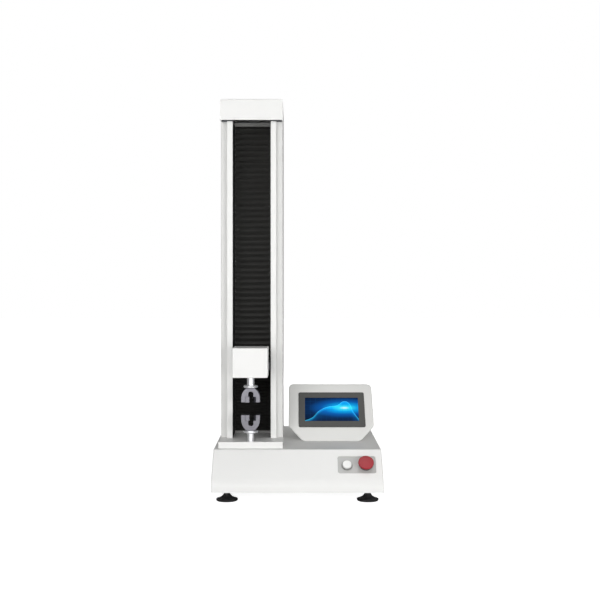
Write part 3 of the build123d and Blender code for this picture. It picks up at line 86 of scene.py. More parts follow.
class Body(Enum):
    """Moving bodies that new pieces ride on."""

    FRAME = "frame"
    CROSSHEAD = "crosshead"


def linear(hex_text: str) -> tuple[float, float, float, float]:
    """Turn an sRGB hex colour into linear light.

    Args:
        hex_text: Colour as "#RRGGBB".

    Returns:
        Red, green, blue and an alpha of 1.
    """
    parts = [int(hex_text[i : i + 2], 16) / 255 for i in (1, 3, 5)]
    lit = [c / 12.92 if c <= 0.04045 else ((c + 0.055) / 1.055) ** 2.4 for c in parts]
    return (lit[0], lit[1], lit[2], 1.0)


def add_node(
    tree: bpy.types.NodeTree, kind: str, inputs: dict | None = None, **settings: object
) -> bpy.types.Node:
    """Add one node with its settings and links.

    Args:
        tree: Node tree that gets the node.
        kind: Node type, such as "ShaderNodeBump".
        inputs: Input name or index to a value, or to the socket that feeds it.
        **settings: Properties of the node itself.

    Returns:
        The new node.
    """
    made = tree.nodes.new(kind)
    for name, value in settings.items():
        setattr(made, name, value)
    for name, value in (inputs or {}).items():
        if isinstance(value, bpy.types.NodeSocket):
            tree.links.new(value, made.inputs[name])
        else:
            made.inputs[name].default_value = value
    return made


def grain_scale(size_mm: float) -> float:
    """Noise scale whose features are about size_mm across, on coordinates in metres."""
    return 1.0 / (size_mm * MM)


def new_material(name: str) -> tuple[bpy.types.Material, bpy.types.Node, bpy.types.NodeSocket]:
    """Start a material with an empty Principled shader.

    Args:
        name: Name of the finish.

    Returns:
        The material, its Principled node and its Object coordinate socket.
    """
    material = bpy.data.materials.new(name)
    material.use_nodes = True
    tree = material.node_tree
    tree.nodes.clear()
    shader = add_node(tree, "ShaderNodeBsdfPrincipled")
    add_node(tree, "ShaderNodeOutputMaterial", {"Surface": shader.outputs["BSDF"]})
    place = add_node(tree, "ShaderNodeTexCoord").outputs["Object"]
    return material, shader, place


def noise(
    shader: bpy.types.Node, place: bpy.types.NodeSocket, size_mm: float, detail: float
) -> bpy.types.NodeSocket:
    """Noise from 0 to 1 on coordinates in metres, with features about size_mm across."""
    inputs = {"Vector": place, "Scale": grain_scale(size_mm), "Detail": detail}
    return add_node(shader.id_data, "ShaderNodeTexNoise", inputs).outputs["Fac"]


def calculate(
    tree: bpy.types.NodeTree, operation: str, *values: float | bpy.types.NodeSocket
) -> bpy.types.NodeSocket:
    """Result of an operation, such as "MULTIPLY", on numbers or sockets."""
    made = add_node(tree, "ShaderNodeMath", dict(enumerate(values)), operation=operation)
    return made.outputs["Value"]


def mix_colours(
    tree: bpy.types.NodeTree,
    factor: bpy.types.NodeSocket,
    first: Iterable[float] | bpy.types.NodeSocket,
    second: Iterable[float] | bpy.types.NodeSocket,
    how: str = "MIX",
) -> bpy.types.NodeSocket:
    """Mix two colours.

    Args:
        tree: Node tree that gets the mix.
        factor: Share of the second colour.
        first: One colour, or the socket that gives it.
        second: The other colour, or the socket that gives it.
        how: Way of mixing.

    Returns:
        The mixed colour.
    """
    inputs = {"Factor": factor, "A": first, "B": second}
    made = add_node(tree, "ShaderNodeMix", inputs, data_type="RGBA", blend_type=how)
    return made.outputs["Result"]


def colour_ramp(
    tree: bpy.types.NodeTree, factor: bpy.types.NodeSocket, stops: tuple[tuple[float, str], ...]
) -> bpy.types.NodeSocket:
    """Turn a factor into colours.

    Args:
        tree: Node tree that gets the ramp.
        factor: Place on the ramp.
        stops: Place and colour of each stop.

    Returns:
        The colour.
    """
    made = add_node(tree, "ShaderNodeValToRGB", {"Fac": factor})
    elements = made.color_ramp.elements
    while len(elements) < len(stops):
        elements.new(1.0)
    for element, (position, colour) in zip(elements, stops):
        element.position = position
        element.color = linear(colour)
    return made.outputs["Color"]


@dataclass(frozen=True)
class Finish:
    """Colour, roughness and relief that patterns vary, so that no surface is one flat tone.

    The drift is what is added to the roughness where the pattern is 0, and where it is 1.
    """

    name: str
    colour: str
    roughness: float = 0.45
    drift: tuple[float, float] = (-0.05, 0.05)
    darkest: float = 0.9
    relief_strength: float = 0.12
    relief_depth: float = 0.2 * MM

    def vary(self, shader: bpy.types.Node, pattern: bpy.types.NodeSocket) -> None:
        """Let a pattern drift the colour and the roughness.

        Args:
            shader: Principled node of the surface.
            pattern: Pattern from 0 to 1; the colour is full where it is 1.
        """
        tree = shader.id_data
        full = linear(self.colour)
        low = [part * self.darkest for part in full[:3]] + [1.0]
        tree.links.new(mix_colours(tree, pattern, low, full), shader.inputs["Base Color"])
        least, most = (self.roughness + step for step in self.drift)
        inputs = {"Value": pattern, "To Min": least, "To Max": most}
        gloss = add_node(tree, "ShaderNodeMapRange", inputs)
        tree.links.new(gloss.outputs["Result"], shader.inputs["Roughness"])

    def emboss(self, shader: bpy.types.Node, height: bpy.types.NodeSocket) -> None:
        """Raise a pattern on the surface.

        Args:
            shader: Principled node of the surface.
            height: Pattern of heights, from 0 to 1.
        """
        bump = add_node(
            shader.id_data,
            "ShaderNodeBump",
            {"Height": height, "Strength": self.relief_strength, "Distance": self.relief_depth},
        )
        shader.id_data.links.new(bump.outputs["Normal"], shader.inputs["Normal"])


@dataclass(frozen=True)
class GrainedFinish(Finish):
    """Surface whose tone and gloss drift slowly, under a fine grain in relief."""

    # The drift keeps a large face from looking like paper.
    drift_mm: float = 14.0
    drift_detail: float = 1.0
    # The real grain of 0.2 mm is too fine to show, so it is drawn coarser to soften the gleam.
    grain_mm: float = 0.5
    grain_detail: float = 2.0
    coat: float = 0.0
    ior: float = 1.49

    def build(self) -> bpy.types.Material:
        """Make the material.

        Returns:
            The finish as a material.
        """
        material, shader, place = new_material(self.name)
        self.vary(shader, noise(shader, place, self.drift_mm, self.drift_detail))
        self.emboss(shader, noise(shader, place, self.grain_mm, self.grain_detail))
        shader.inputs["IOR"].default_value = self.ior
        shader.inputs["Coat Weight"].default_value = self.coat
        return material


@dataclass(frozen=True)
class MouldedPlastic(GrainedFinish):
    """Moulded plastic or rubber: a fine eroded grain, softer or glossier by its roughness."""


@dataclass(frozen=True)
class PowderCoat(GrainedFinish):
    """Baked powder coat on steel sheet: even and pale, with a faint orange-peel skin."""

    roughness: float = 0.42
    drift: tuple[float, float] = (-0.04, 0.05)
    drift_mm: float = 90.0
    drift_detail: float = 2.0
    darkest: float = 0.97
    # Waves of the peel, about their real width: they blur what the coat reflects.
    grain_mm: float = 2.2
    grain_detail: float = 1.5
    relief_strength: float = 0.045
    relief_depth: float = 0.6 * MM
    ior: float = 1.5


@dataclass(frozen=True)
class MachinedMetal(Finish):
    """Turned, ground or brushed metal: fine streaks along one axis break up its reflections."""

    drift: tuple[float, float] = (-0.06, 0.06)
    darkest: float = 0.86
    marks: Axis = Axis.Z
    # Real tool marks of 0.1 mm are too fine to show, so they are drawn coarser.
    mark_mm: float = 0.5
    mark_stretch: float = 0.02

    def build(self) -> bpy.types.Material:
        """Make the material.

        Returns:
            The metal, with marks that are drawn out along their axis.
        """
        material, shader, place = new_material(self.name)
        scale = [self.mark_stretch if component else 1.0 for component in self.marks.value]
        drawn = add_node(shader.id_data, "ShaderNodeMapping", {"Vector": place, "Scale": scale})
        streaks = noise(shader, drawn.outputs["Vector"], self.mark_mm, detail=3.0)
        self.vary(shader, streaks)
        self.emboss(shader, streaks)
        shader.inputs["Metallic"].default_value = 1.0
        return material


@dataclass(frozen=True)
class CoatedCloth(Finish):
    """Polyurethane-coated bellows cloth: near black, with a woven grain and a soft sheen."""

    roughness: float = 0.66
    drift: tuple[float, float] = (-0.08, 0.1)
    drift_mm: float = 35.0
    darkest: float = 0.72
    ior: float = 1.5
    # The real weave of 0.4 mm is too fine to show, so it is drawn this coarse.
    weave_mm: float = 6.9115
    weave_wander: float = 0.4
    relief_strength: float = 0.15
    relief_depth: float = 0.3 * MM
    sheen: float = 0.3

    def build(self) -> bpy.types.Material:
        """Make the material.

        Returns:
            The cloth, with waves across and along as its weave.
        """
        material, shader, place = new_material(self.name)
        scale = grain_scale(self.weave_mm) * 2 * pi / WAVE_TURN
        inputs = {"Vector": place, "Scale": scale, "Distortion": self.weave_wander}
        threads = [
            add_node(shader.id_data, "ShaderNodeTexWave", inputs, bands_direction=axis.name)
            for axis in (Axis.X, Axis.Z)
        ]
        weave = calculate(shader.id_data, "MULTIPLY", *(wave.outputs["Fac"] for wave in threads))
        self.vary(shader, noise(shader, place, self.drift_mm, detail=3.0))
        self.emboss(shader, weave)
        shader.inputs["IOR"].default_value = self.ior
        shader.inputs["Specular IOR Level"].default_value = self.sheen
        return material


# Colours of the picture from the middle of its glow outwards.
SKY_STOPS = (
    (0.0, "#E0FFFF"), (0.06, "#3CE8FF"), (0.15, "#00A2EA"),
    (0.27, "#0058AA"), (0.42, "#002854"), (0.66, "#001028"),
)
# Light that is added below the chart's curve, from the curve downwards.
CURVE_STOPS = (
    (0.0, "#000000"), (0.006, "#5CD8F6"), (0.02, "#1490C4"),
    (0.12, "#023A62"), (0.35, "#011A36"), (0.6, "#000000"),
)
# The curve: a slow start, a steep rise, a rounded peak and a fall.
CURVE_ENDS = ((0.0, 0.04), (1.0, 0.1))
CURVE_POINTS = ((0.12, 0.14), (0.28, 0.46), (0.42, 0.6), (0.6, 0.66), (0.76, 0.84), (0.9, 0.4))


@dataclass(frozen=True)
class LitPicture:
    """Liquid-crystal picture behind gloss glass: a blue glow with a force-against-travel curve."""

    name: str
    middle: Vector
    turn: Matrix
    width: float
    height: float
    level: float = 0.95
    glow: tuple[float, float] = (0.74, 0.56)
    glow_stretch: float = 0.62
    grid_cells: tuple[float, float] = (10.0, 6.0)
    grid_lines: tuple[float, float] = (0.03, 0.035)
    grid_strength: float = 0.35
    grid_colour: str = "#0A5A9C"
    unlit_colour: str = "#05070C"
    glass_roughness: float = 0.25
    glass_gloss: float = 0.01

    def build(self) -> bpy.types.Material:
        """Make the material, with its own upright coordinates on the leaning glass.

        Returns:
            The picture as a light of its own behind the glass.
        """
        material, shader, place = new_material(self.name)
        tree = material.node_tree
        back = self.turn.inverted()
        inputs = {"Vector": place, "Rotation": back.to_euler(), "Location": -(back @ self.middle)}
        flat = add_node(tree, "ShaderNodeMapping", inputs)
        axes = add_node(tree, "ShaderNodeSeparateXYZ", {"Vector": flat.outputs["Vector"]})
        across = calculate(tree, "MULTIPLY_ADD", axes.outputs["X"], 1 / self.width, 0.5)
        up = calculate(tree, "MULTIPLY_ADD", axes.outputs["Y"], 1 / self.height, 0.5)
        chart = self.chart(tree, across, up)
        picture = mix_colours(tree, self.grid(tree, across, up), chart, linear(self.grid_colour))
        tree.links.new(picture, shader.inputs["Emission Color"])
        shader.inputs["Emission Strength"].default_value = self.level
        shader.inputs["Base Color"].default_value = linear(self.unlit_colour)
        shader.inputs["Roughness"].default_value = self.glass_roughness
        shader.inputs["Specular IOR Level"].default_value = self.glass_gloss
        return material

    def chart(
        self, tree: bpy.types.NodeTree, across: bpy.types.NodeSocket, up: bpy.types.NodeSocket
    ) -> bpy.types.NodeSocket:
        """Draw the glow and the curve.

        Args:
            tree: Node tree of the picture.
            across: Share of the picture's width.
            up: Share of the picture's height.

        Returns:
            The colour.
        """
        curve = add_node(tree, "ShaderNodeFloatCurve", {"Value": across})
        line = curve.mapping.curves[0]
        for point, end in zip(line.points, CURVE_ENDS):
            point.location = end
        for x, y in CURVE_POINTS:
            line.points.new(x, y)
        curve.mapping.update()
        over = calculate(tree, "SUBTRACT", curve.outputs["Value"], up)
        inside = calculate(tree, "GREATER_THAN", over, 0.0)
        offset = calculate(tree, "SUBTRACT", across, self.glow[0])
        aside = calculate(tree, "MULTIPLY", offset, self.glow_stretch)
        above = calculate(tree, "SUBTRACT", up, self.glow[1])
        off = add_node(tree, "ShaderNodeCombineXYZ", {"X": aside, "Y": above}).outputs["Vector"]
        away = add_node(tree, "ShaderNodeVectorMath", {0: off}, operation="LENGTH")
        sky = colour_ramp(tree, away.outputs["Value"], SKY_STOPS)
        return mix_colours(tree, inside, sky, colour_ramp(tree, over, CURVE_STOPS), how="ADD")

    def grid(
        self, tree: bpy.types.NodeTree, across: bpy.types.NodeSocket, up: bpy.types.NodeSocket
    ) -> bpy.types.NodeSocket:
        """Draw the faint lines of the chart.

        Args:
            tree: Node tree of the picture.
            across: Share of the picture's width.
            up: Share of the picture's height.

        Returns:
            Factor that is above 0 on the lines.
        """
        strips = []
        for share, cells, line in zip((across, up), self.grid_cells, self.grid_lines):
            part = calculate(tree, "FRACT", calculate(tree, "MULTIPLY", share, cells))
            strips.append(calculate(tree, "LESS_THAN", part, line))
        either = calculate(tree, "MAXIMUM", *strips)
        return calculate(tree, "MULTIPLY", either, self.grid_strength)


def deselect_everything() -> None:
    """Leave edit mode and clear the selection, so that an operator acts on new work only."""
    if bpy.context.object and bpy.context.object.mode != "OBJECT":
        bpy.ops.object.mode_set(mode="OBJECT")
    bpy.ops.object.select_all(action="DESELECT")


def work_on(piece: bpy.types.Object) -> None:
    """Select one object and make it active.

    Args:
        piece: Object that the next operators act on.
    """
    deselect_everything()
    piece.select_set(True)
    bpy.context.view_layer.objects.active = piece


@contextmanager
def edit_mode() -> Iterator[None]:
    """Keep the active object in edit mode for the lines within."""
    bpy.ops.object.mode_set(mode="EDIT")
    yield
    bpy.ops.object.mode_set(mode="OBJECT")


def pick(piece: bpy.types.Object, kind: str, test: Callable) -> None:
    """Select the faces, edges or vertices of the object in edit mode that pass a test.

    Args:
        piece: Object in edit mode.
        kind: "faces", "edges" or "verts".
        test: Called with each element; true selects it.
    """
    modes = {"verts": "VERT", "edges": "EDGE", "faces": "FACE"}
    bpy.ops.mesh.select_mode(type=modes[kind])
    bpy.ops.mesh.select_all(action="DESELECT")
    mesh = bmesh.from_edit_mesh(piece.data)
    for element in getattr(mesh, kind):
        if test(element):
            element.select_set(True)
    mesh.select_flush_mode()
    bmesh.update_edit_mesh(piece.data)


def apply_modifiers(piece: bpy.types.Object) -> None:
    """Turn every modifier of an object into mesh.

    Args:
        piece: Object whose modifiers are applied in order.
    """
    work_on(piece)
    for modifier in list(piece.modifiers):
        bpy.ops.object.modifier_apply(modifier=modifier.name)


def settle(piece: bpy.types.Object) -> None:
    """Put the object's place, turn and size into its mesh."""
    work_on(piece)
    bpy.ops.object.transform_apply(location=True, rotation=True, scale=True)


def new_block(middle: Iterable[float], size: Iterable[float]) -> bpy.types.Object:
    """Start a piece from a block.

    Args:
        middle: Its middle.
        size: Its size along each axis.

    Returns:
        The block, with its place and size in its mesh.
    """
    deselect_everything()
    bpy.ops.mesh.primitive_cube_add(size=1.0, location=middle)
    piece = bpy.context.object
    piece.scale = size
    settle(piece)
    return piece


def join(parts: list[bpy.types.Object], name: str) -> bpy.types.Object:
    """Join several objects into one.

    Args:
        parts: Objects to join.
        name: Name of the result.

    Returns:
        The joined object.
    """
    deselect_everything()
    for part in parts:
        part.select_set(True)
    bpy.context.view_layer.objects.active = parts[0]
    if len(parts) > 1:
        bpy.ops.object.join()
    parts[0].name = name
    parts[0].data.name = name
    return parts[0]


def dress(piece: bpy.types.Object, material: bpy.types.Material) -> None:
    """Give the whole object one material."""
    piece.data.materials.clear()
    piece.data.materials.append(material)


def finish_piece(
    piece: bpy.types.Object, material: bpy.types.Material, body: Body
) -> None:
    """Dress a new piece and fix it to its body.

    Args:
        piece: New object.
        material: Its finish.
        body: Body that it rides on.
    """
    dress(piece, material)
    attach(piece, body.value)


@dataclass
class Palette:
    """Every finish on the machine, made once."""

    made: dict[str, bpy.types.Material] = field(default_factory=dict)

    def build(self) -> None:
        """Make all the plain finishes."""
        finishes = [
            # Base, bed, cap and cover: the bright, warm body of the machine.
            PowderCoat("warm_white_powder_coat", "#EDEDEB"),
            # Uprights: a shade darker, so that they part from cap and strips.
            PowderCoat("pale_grey_powder_coat", "#D8D8D6", roughness=0.4),
            # Console: softer in gloss and finer in grain than the base.
            PowderCoat("console_powder_coat", "#E2E2DF", roughness=0.45, grain_mm=1.6),
            # Control plate: an even mid grey round the two buttons.
            PowderCoat("plate_grey_enamel", "#B4B4B2", roughness=0.38),
            # Motor: near black, with a dull gleam.
            PowderCoat("black_motor_enamel", "#1C1C1E", roughness=0.5),
            # Controller board: clear green lacquer.
            PowderCoat("solder_mask_green", "#0E4A26", roughness=0.35),
            # Screw, rails and bearings: the sharpest reflections inside.
            MachinedMetal("ground_bearing_steel", "#C9CACC", roughness=0.2),
            # Rods and lock rings: almost white, with soft round highlights.
            MachinedMetal("turned_bright_steel", "#F2F3F5", roughness=0.4, mark_mm=0.3),
            # Yokes and moving jaws: a mid grey gleam with a hint of violet.
            MachinedMetal("satin_nickel_plate", "#7F7E84", roughness=0.38, marks=Axis.X),
            # Frame and inner plates: dull grey, as rolled.
            MachinedMetal("plain_mill_steel", "#7D7E82", roughness=0.45, marks=Axis.X),
            # Arm, carriage and load cell: an even satin.
            MachinedMetal("anodised_aluminium", "#6E6F72", roughness=0.42, marks=Axis.X),
            # Bars on the carriage: a dark line between cloth and cover.
            MachinedMetal("dark_anodised_bar", "#5A5A5A", roughness=0.5, marks=Axis.X),
            # Bars on the column: the paler line that ends the cloth.
            PowderCoat("grey_bar_coat", "#8C8C8A", roughness=0.5),
            # Inserts, clamp screws and nuts: almost black, with a gleam at their edges.
            MachinedMetal("black_oxide_steel", "#26262A", roughness=0.42, marks=Axis.X),
            # Cage of the supply: pale brushed sheet.
            MachinedMetal("mill_sheet_aluminium", "#A9ABAE", roughness=0.36, marks=Axis.Y),
            # Bezel: matt dark grey that sets off the lit picture.
            MouldedPlastic("grained_bezel_plastic", "#484846", roughness=0.7),
            # Start button: a white cap with a small clear gleam.
            MouldedPlastic("white_button_plastic", "#F0F0EE", roughness=0.3, coat=0.2),
            # Ring of the start button: painted shade, grey so that its side shows as the dark
            # crescent of shadow round the white cap.
            MouldedPlastic("grey_button_plastic", "#8C8C8A", roughness=0.4),
            # Head of the emergency stop: deep matt red, the one warm spot.
            MouldedPlastic("red_button_plastic", "#A8202C", roughness=0.6),
            # Collar and stem of the emergency stop: a dark shade under the head.
            MouldedPlastic("dark_collar_plastic", "#4A4A4C", roughness=0.5),
            # Inlet and rocker: black with a fine grain.
            MouldedPlastic("black_inlet_plastic", "#161617", roughness=0.45),
            # Strips in the channel: painted shade, black where its inner walls lie in shadow on
            # each side of the cloth.
            MouldedPlastic("black_liner_plastic", "#141414", roughness=0.6),
            # Feet: dull black, with a coarser grain.
            MouldedPlastic("black_foot_rubber", "#121213", roughness=0.62, grain_mm=0.9),
            # Timing belt: the dullest black.
            MouldedPlastic("black_belt_rubber", "#151515", roughness=0.7, grain_mm=0.8),
            # Bellows: black cloth whose folds catch a little grey light.
            CoatedCloth("black_bellows_cloth", "#343432"),
        ]
        for finish in finishes:
            self.made[finish.name] = finish.build()

    def __getitem__(self, name: str) -> bpy.types.Material:
        """Return the finish of that name."""
        return self.made[name]


NODE_FINISHES = {
    "warm_white_powder_coat": (
        "base_shell", "bed_plate", "head_cap", "crosshead_cover", "guide_strips", "rear_panel",
        "rear_cover", "bottom_plate",
    ),
    "pale_grey_powder_coat": ("left_upright", "right_upright"),
    "console_powder_coat": ("console_front", "console_stand"),
    "plate_grey_enamel": ("control_plate",),
    "black_motor_enamel": ("motor",),
    "solder_mask_green": ("controller_board",),
    "ground_bearing_steel": (
        "ball_screw", "ball_nut", "linear_rails", "rail_blocks", "screw_bearings", "motor_shaft",
    ),
    "turned_bright_steel": (
        "upper_adapter", "lower_adapter", "upper_lock_ring", "lower_lock_ring",
    ),
    "satin_nickel_plate": (
        "upper_grip_yoke", "lower_grip_yoke", "upper_moving_jaw", "lower_moving_jaw",
    ),
    "plain_mill_steel": ("base_frame", "back_plate", "head_plate", "bottom_bearing_housing"),
    "anodised_aluminium": ("crosshead_arm", "carriage_plate", "load_cell"),
    "dark_anodised_bar": ("carriage_bellows_bars",),
    "grey_bar_coat": ("column_bellows_bars",),
    "black_oxide_steel": (
        "upper_fixed_insert", "lower_fixed_insert", "upper_jaw_screw", "lower_jaw_screw",
        "foot_nuts",
    ),
    "mill_sheet_aluminium": ("power_supply",),
    "grained_bezel_plastic": ("display_bezel",),
    "white_button_plastic": ("start_button",),
    # Painted shade: the start button's ring is grey to stand for the shadow round its cap.
    "grey_button_plastic": ("start_bezel",),
    "red_button_plastic": ("estop_head",),
    "dark_collar_plastic": ("estop_collar", "estop_stem"),
    "black_inlet_plastic": ("power_inlet", "power_rocker"),
    "black_foot_rubber": (
        "front_left_foot", "front_right_foot", "rear_left_foot", "rear_right_foot",
    ),
    "black_belt_rubber": ("timing_belt",),
}


@dataclass
class CadFinishes:
    """Finishes of the pieces that come from the construction model."""

    palette: Palette

    def build(self) -> None:
        """Assign each node its finish."""
        for finish, nodes in NODE_FINISHES.items():
            for node in nodes:
                self.assign(node, self.palette[finish])

    @staticmethod
    def assign(node: str, material: bpy.types.Material) -> None:
        """Put a material in every slot of a node's object.

        Args:
            node: Name of the node.
            material: Its finish.
        """
        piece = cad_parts[node]
        if not piece.material_slots:
            piece.data.materials.append(material)
        for slot in piece.material_slots:
            slot.material = material


@dataclass
class BellowsCurtain:
    """Folded cloth curtain across the column's channel."""

    name: str
    node: str
    folds: int = 41
    columns: int = 26
    hem: float = 9 * MM
    hem_rise: float = 0.62
    room: float = 1.0 * MM
    cloth: float = 0.8 * MM
    crease: float = 0.9 * MM
    crease_limit: float = 0.2
    level_limit: float = 0.1
    smooth: float = radians(50)

    def build(self) -> bpy.types.Object:
        """Fold the cloth, give it thickness and hang it where its plain solid is.

        Returns:
            The curtain.
        """
        low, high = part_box(self.node)
        size = high - low
        deselect_everything()
        bpy.ops.mesh.primitive_grid_add(
            x_subdivisions=self.columns,
            y_subdivisions=2 * self.folds,
            size=1.0,
            rotation=(pi / 2, 0, 0),
        )
        piece = bpy.context.object
        piece.name = self.name
        piece.scale = (size.x, size.z, 1.0)
        piece.location = ((low.x + high.x) / 2, high.y - self.room, (low.z + high.z) / 2)
        settle(piece)
        self.fold(piece, low, high)
        self.round_creases(piece, size.z / (2 * self.folds))
        solid = piece.modifiers.new("thickness", "SOLIDIFY")
        solid.thickness = self.cloth
        solid.offset = 0.0
        apply_modifiers(piece)
        work_on(piece)
        bpy.ops.object.shade_smooth_by_angle(angle=self.smooth)
        return piece

    def fold(self, piece: bpy.types.Object, low: Vector, high: Vector) -> None:
        """Pull every other row forward, and the side hems less than the middle.

        Args:
            piece: Flat cloth.
            low: Lowest corner of the room for it.
            high: Highest corner of the room for it.
        """
        step = (high.z - low.z) / (2 * self.folds)
        depth = high.y - low.y - 2 * self.room
        middle = (low.x + high.x) / 2
        inner = (high.x - low.x) / 2 - self.hem
        with edit_mode():
            for in_hem, share in ((True, self.hem_rise), (False, 1.0)):
                pick(
                    piece,
                    "verts",
                    lambda v: round((v.co.z - low.z) / step) % 2 == 1
                    and (abs(v.co.x - middle) > inner) == in_hem,
                )
                bpy.ops.transform.translate(value=(0, -depth * share, 0))

    def round_creases(self, piece: bpy.types.Object, rise: float) -> None:
        """Soften the fold lines, which run across the curtain.

        Args:
            piece: Folded cloth.
            rise: Height from one fold line to the next.
        """
        level = rise * self.level_limit
        offset = min(self.crease, rise * self.crease_limit)
        with edit_mode():
            pick(
                piece,
                "edges",
                lambda e: abs(e.verts[0].co.z - e.verts[1].co.z) < level and not e.is_boundary,
            )
            bpy.ops.mesh.bevel(offset=offset, segments=2, affect="EDGES")


@dataclass
class Bellows:
    """The two curtains, above and below the crosshead."""

    palette: Palette

    def build(self) -> None:
        """Make both in place of their plain solids, and fix the upper one to the frame."""
        upper = BellowsCurtain("upper_bellows_cloth", "upper_bellows").build()
        finish_piece(upper, self.palette["black_bellows_cloth"], Body.FRAME)
        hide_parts("upper_bellows")
        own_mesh(upper)
        lower = BellowsCurtain("lower_bellows_cloth", "lower_bellows", crease=0.4 * MM).build()
        dress(lower, self.palette["black_bellows_cloth"])
        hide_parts("lower_bellows")
        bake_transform(lower)


@dataclass
class ChannelShadeStrips:
    """Black strips on the two inner walls of the channel, in front of the bellows: painted shade
    for the walls' shadow.
    """

    palette: Palette
    thickness: float = 0.8 * MM
    end_gap: float = 0.5 * MM
    front_gap: float = 1.5 * MM
    corner: float = 0.35 * MM

    def build(self) -> None:
        """Model a strip for each wall and fix both to the frame."""
        strips_low, strips_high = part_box("guide_strips")
        bars_low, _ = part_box("column_bellows_bars")
        channel_low, channel_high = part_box("rear_cover")
        front, rear = strips_low.y + self.front_gap, bars_low.y - self.end_gap
        bottom, top = strips_low.z + self.end_gap, strips_high.z - self.end_gap
        strips = [
            self.strip(Vector((x, front, bottom)), Vector((x + self.thickness, rear, top)))
            for x in (channel_low.x, channel_high.x - self.thickness)
        ]
        piece = join(strips, "channel_liner")
        finish_piece(piece, self.palette["black_liner_plastic"], Body.FRAME)

    def strip(self, low: Vector, high: Vector) -> bpy.types.Object:
        """Model one strip between two corners.

        Args:
            low: Its lowest corner.
            high: Its highest corner.

        Returns:
            The strip, with its long edges broken.
        """
        made = new_block((low + high) / 2, high - low)
        with edit_mode():
            pick(made, "edges", lambda e: abs(e.verts[0].co.z - e.verts[1].co.z) > self.thickness)
            bpy.ops.mesh.bevel(offset=self.corner, segments=2, affect="EDGES")
        return made


@dataclass(frozen=True)
class ButtonHeadScrew:
    """Button-head screw, drawn as its head alone, with a plain recess for its socket."""

    radius: float = 2.75 * MM
    height: float = 1.6 * MM
    dome: float = 0.88 * MM
    socket_inset: float = 0.73 * MM
    socket_edge: float = 0.0001 * MM
    socket_depth: float = 0.96 * MM
    sides: int = 24

    def build(self, place: Vector, normal: Vector) -> bpy.types.Object:
        """Model one head and seat it.

        Args:
            place: Middle of the seat.
            normal: Direction that the head faces.

        Returns:
            The head's object.
        """
        deselect_everything()
        bpy.ops.mesh.primitive_cylinder_add(
            vertices=self.sides,
            radius=self.radius,
            depth=self.height,
            location=(0, 0, self.height / 2),
        )
        head = bpy.context.object
        settle(head)
        with edit_mode():
            pick(head, "edges", lambda e: all(v.co.z > self.height - CLOSE for v in e.verts))
            bpy.ops.mesh.bevel(offset=self.dome, segments=3, affect="EDGES")
            pick(head, "faces", lambda f: f.normal.z > LEVEL)
            bpy.ops.mesh.inset(thickness=self.socket_inset, depth=0)
            bpy.ops.mesh.inset(thickness=self.socket_edge, depth=-self.socket_depth)
        turn = normal.to_track_quat("Z", "Y").to_matrix().to_4x4()
        head.data.transform(Matrix.Translation(place) @ turn)
        return head


def even_places(low: float, high: float, count: int, inset: float) -> list[float]:
    """Spread places evenly between two edges.

    Args:
        low: Lower edge.
        high: Higher edge.
        count: How many places; a single one is in the middle.
        inset: How far the outer ones stay inside the edges.

    Returns:
        The places, from low to high.
    """
    if count == 1:
        return [(low + high) / 2]
    step = (high - low - 2 * inset) / (count - 1)
    return [low + inset + number * step for number in range(count)]


@dataclass
class Fasteners:
    """Screws that hold the covers, one group for each cover."""

    palette: Palette
    screw: ButtonHeadScrew = ButtonHeadScrew()
    smooth: float = radians(35)

    def build(self) -> None:
        """Make every group."""
        rear, under = self.rear_places, self.under_places
        rows = ((0.0, 36 * MM), (0.5, 0.0), (1.0, -12 * MM))
        edge = ((1.0, -8 * MM),)
        for name, body, normal, places in (
            ("rear_cover_screws", Body.FRAME, REAR, rear("rear_cover", (2, 5), (8 * MM, 24 * MM))),
            ("rear_panel_screws", Body.FRAME, REAR, rear("rear_panel", (4, 2), (8 * MM, 8 * MM))),
            ("inlet_screws", Body.FRAME, REAR, rear("power_inlet", (2, 1), (3.6 * MM, 0.0))),
            ("bottom_plate_screws", Body.FRAME, DOWN, under("bottom_plate", 12 * MM, rows)),
            ("cap_screws", Body.FRAME, REAR, rear("head_cap", (2, 2), (12 * MM, 12 * MM))),
            ("cover_screws", Body.CROSSHEAD, DOWN, under("crosshead_cover", 8 * MM, edge)),
        ):
            self.group(name, body, places, normal)

    def group(self, name: str, body: Body, places: list[Vector], normal: Vector) -> None:
        """Make one group of screws on a cover.

        Args:
            name: Name of the group.
            body: Body that the cover belongs to.
            places: Middle of each seat.
            normal: Direction that the heads face.
        """
        piece = join([self.screw.build(place, normal) for place in places], name)
        work_on(piece)
        bpy.ops.object.shade_smooth_by_angle(angle=self.smooth)
        finish_piece(piece, self.palette["black_oxide_steel"], body)

    @staticmethod
    def rear_places(
        node: str, counts: tuple[int, int], insets: tuple[float, float]
    ) -> list[Vector]:
        """Columns and rows of screws on the rear face of a piece.

        Args:
            node: Name of the piece.
            counts: How many columns and rows.
            insets: How far the outer ones stay inside its sides and its ends.

        Returns:
            Middle of each seat.
        """
        low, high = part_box(node)
        columns = even_places(low.x, high.x, counts[0], insets[0])
        rows = even_places(low.z, high.z, counts[1], insets[1])
        return [Vector((x, high.y, z)) for x in columns for z in rows]

    @staticmethod
    def under_places(
        node: str, inset: float, rows: tuple[tuple[float, float], ...]
    ) -> list[Vector]:
        """Pairs of screws on the underside of a piece.

        Args:
            node: Name of the piece.
            inset: How far they stay inside its sides.
            rows: Share of the depth, from the front, and step behind it, for each pair.

        Returns:
            Middle of each seat.
        """
        low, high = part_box(node)
        return [
            Vector((x, low.y + share * (high.y - low.y) + step, low.z))
            for x in even_places(low.x, high.x, 2, inset)
            for share, step in rows
        ]


def console_turn() -> Matrix:
    """Turn the console's own axes to the room: across, up its slope and out of its face.

    Returns:
        The turn.
    """
    across = Vector((1, 0, 0))
    up_slope = Vector((0, sin(CONSOLE_LEAN), cos(CONSOLE_LEAN)))
    outward = Vector((0, -cos(CONSOLE_LEAN), sin(CONSOLE_LEAN)))
    return Matrix((across, up_slope, outward)).transposed()


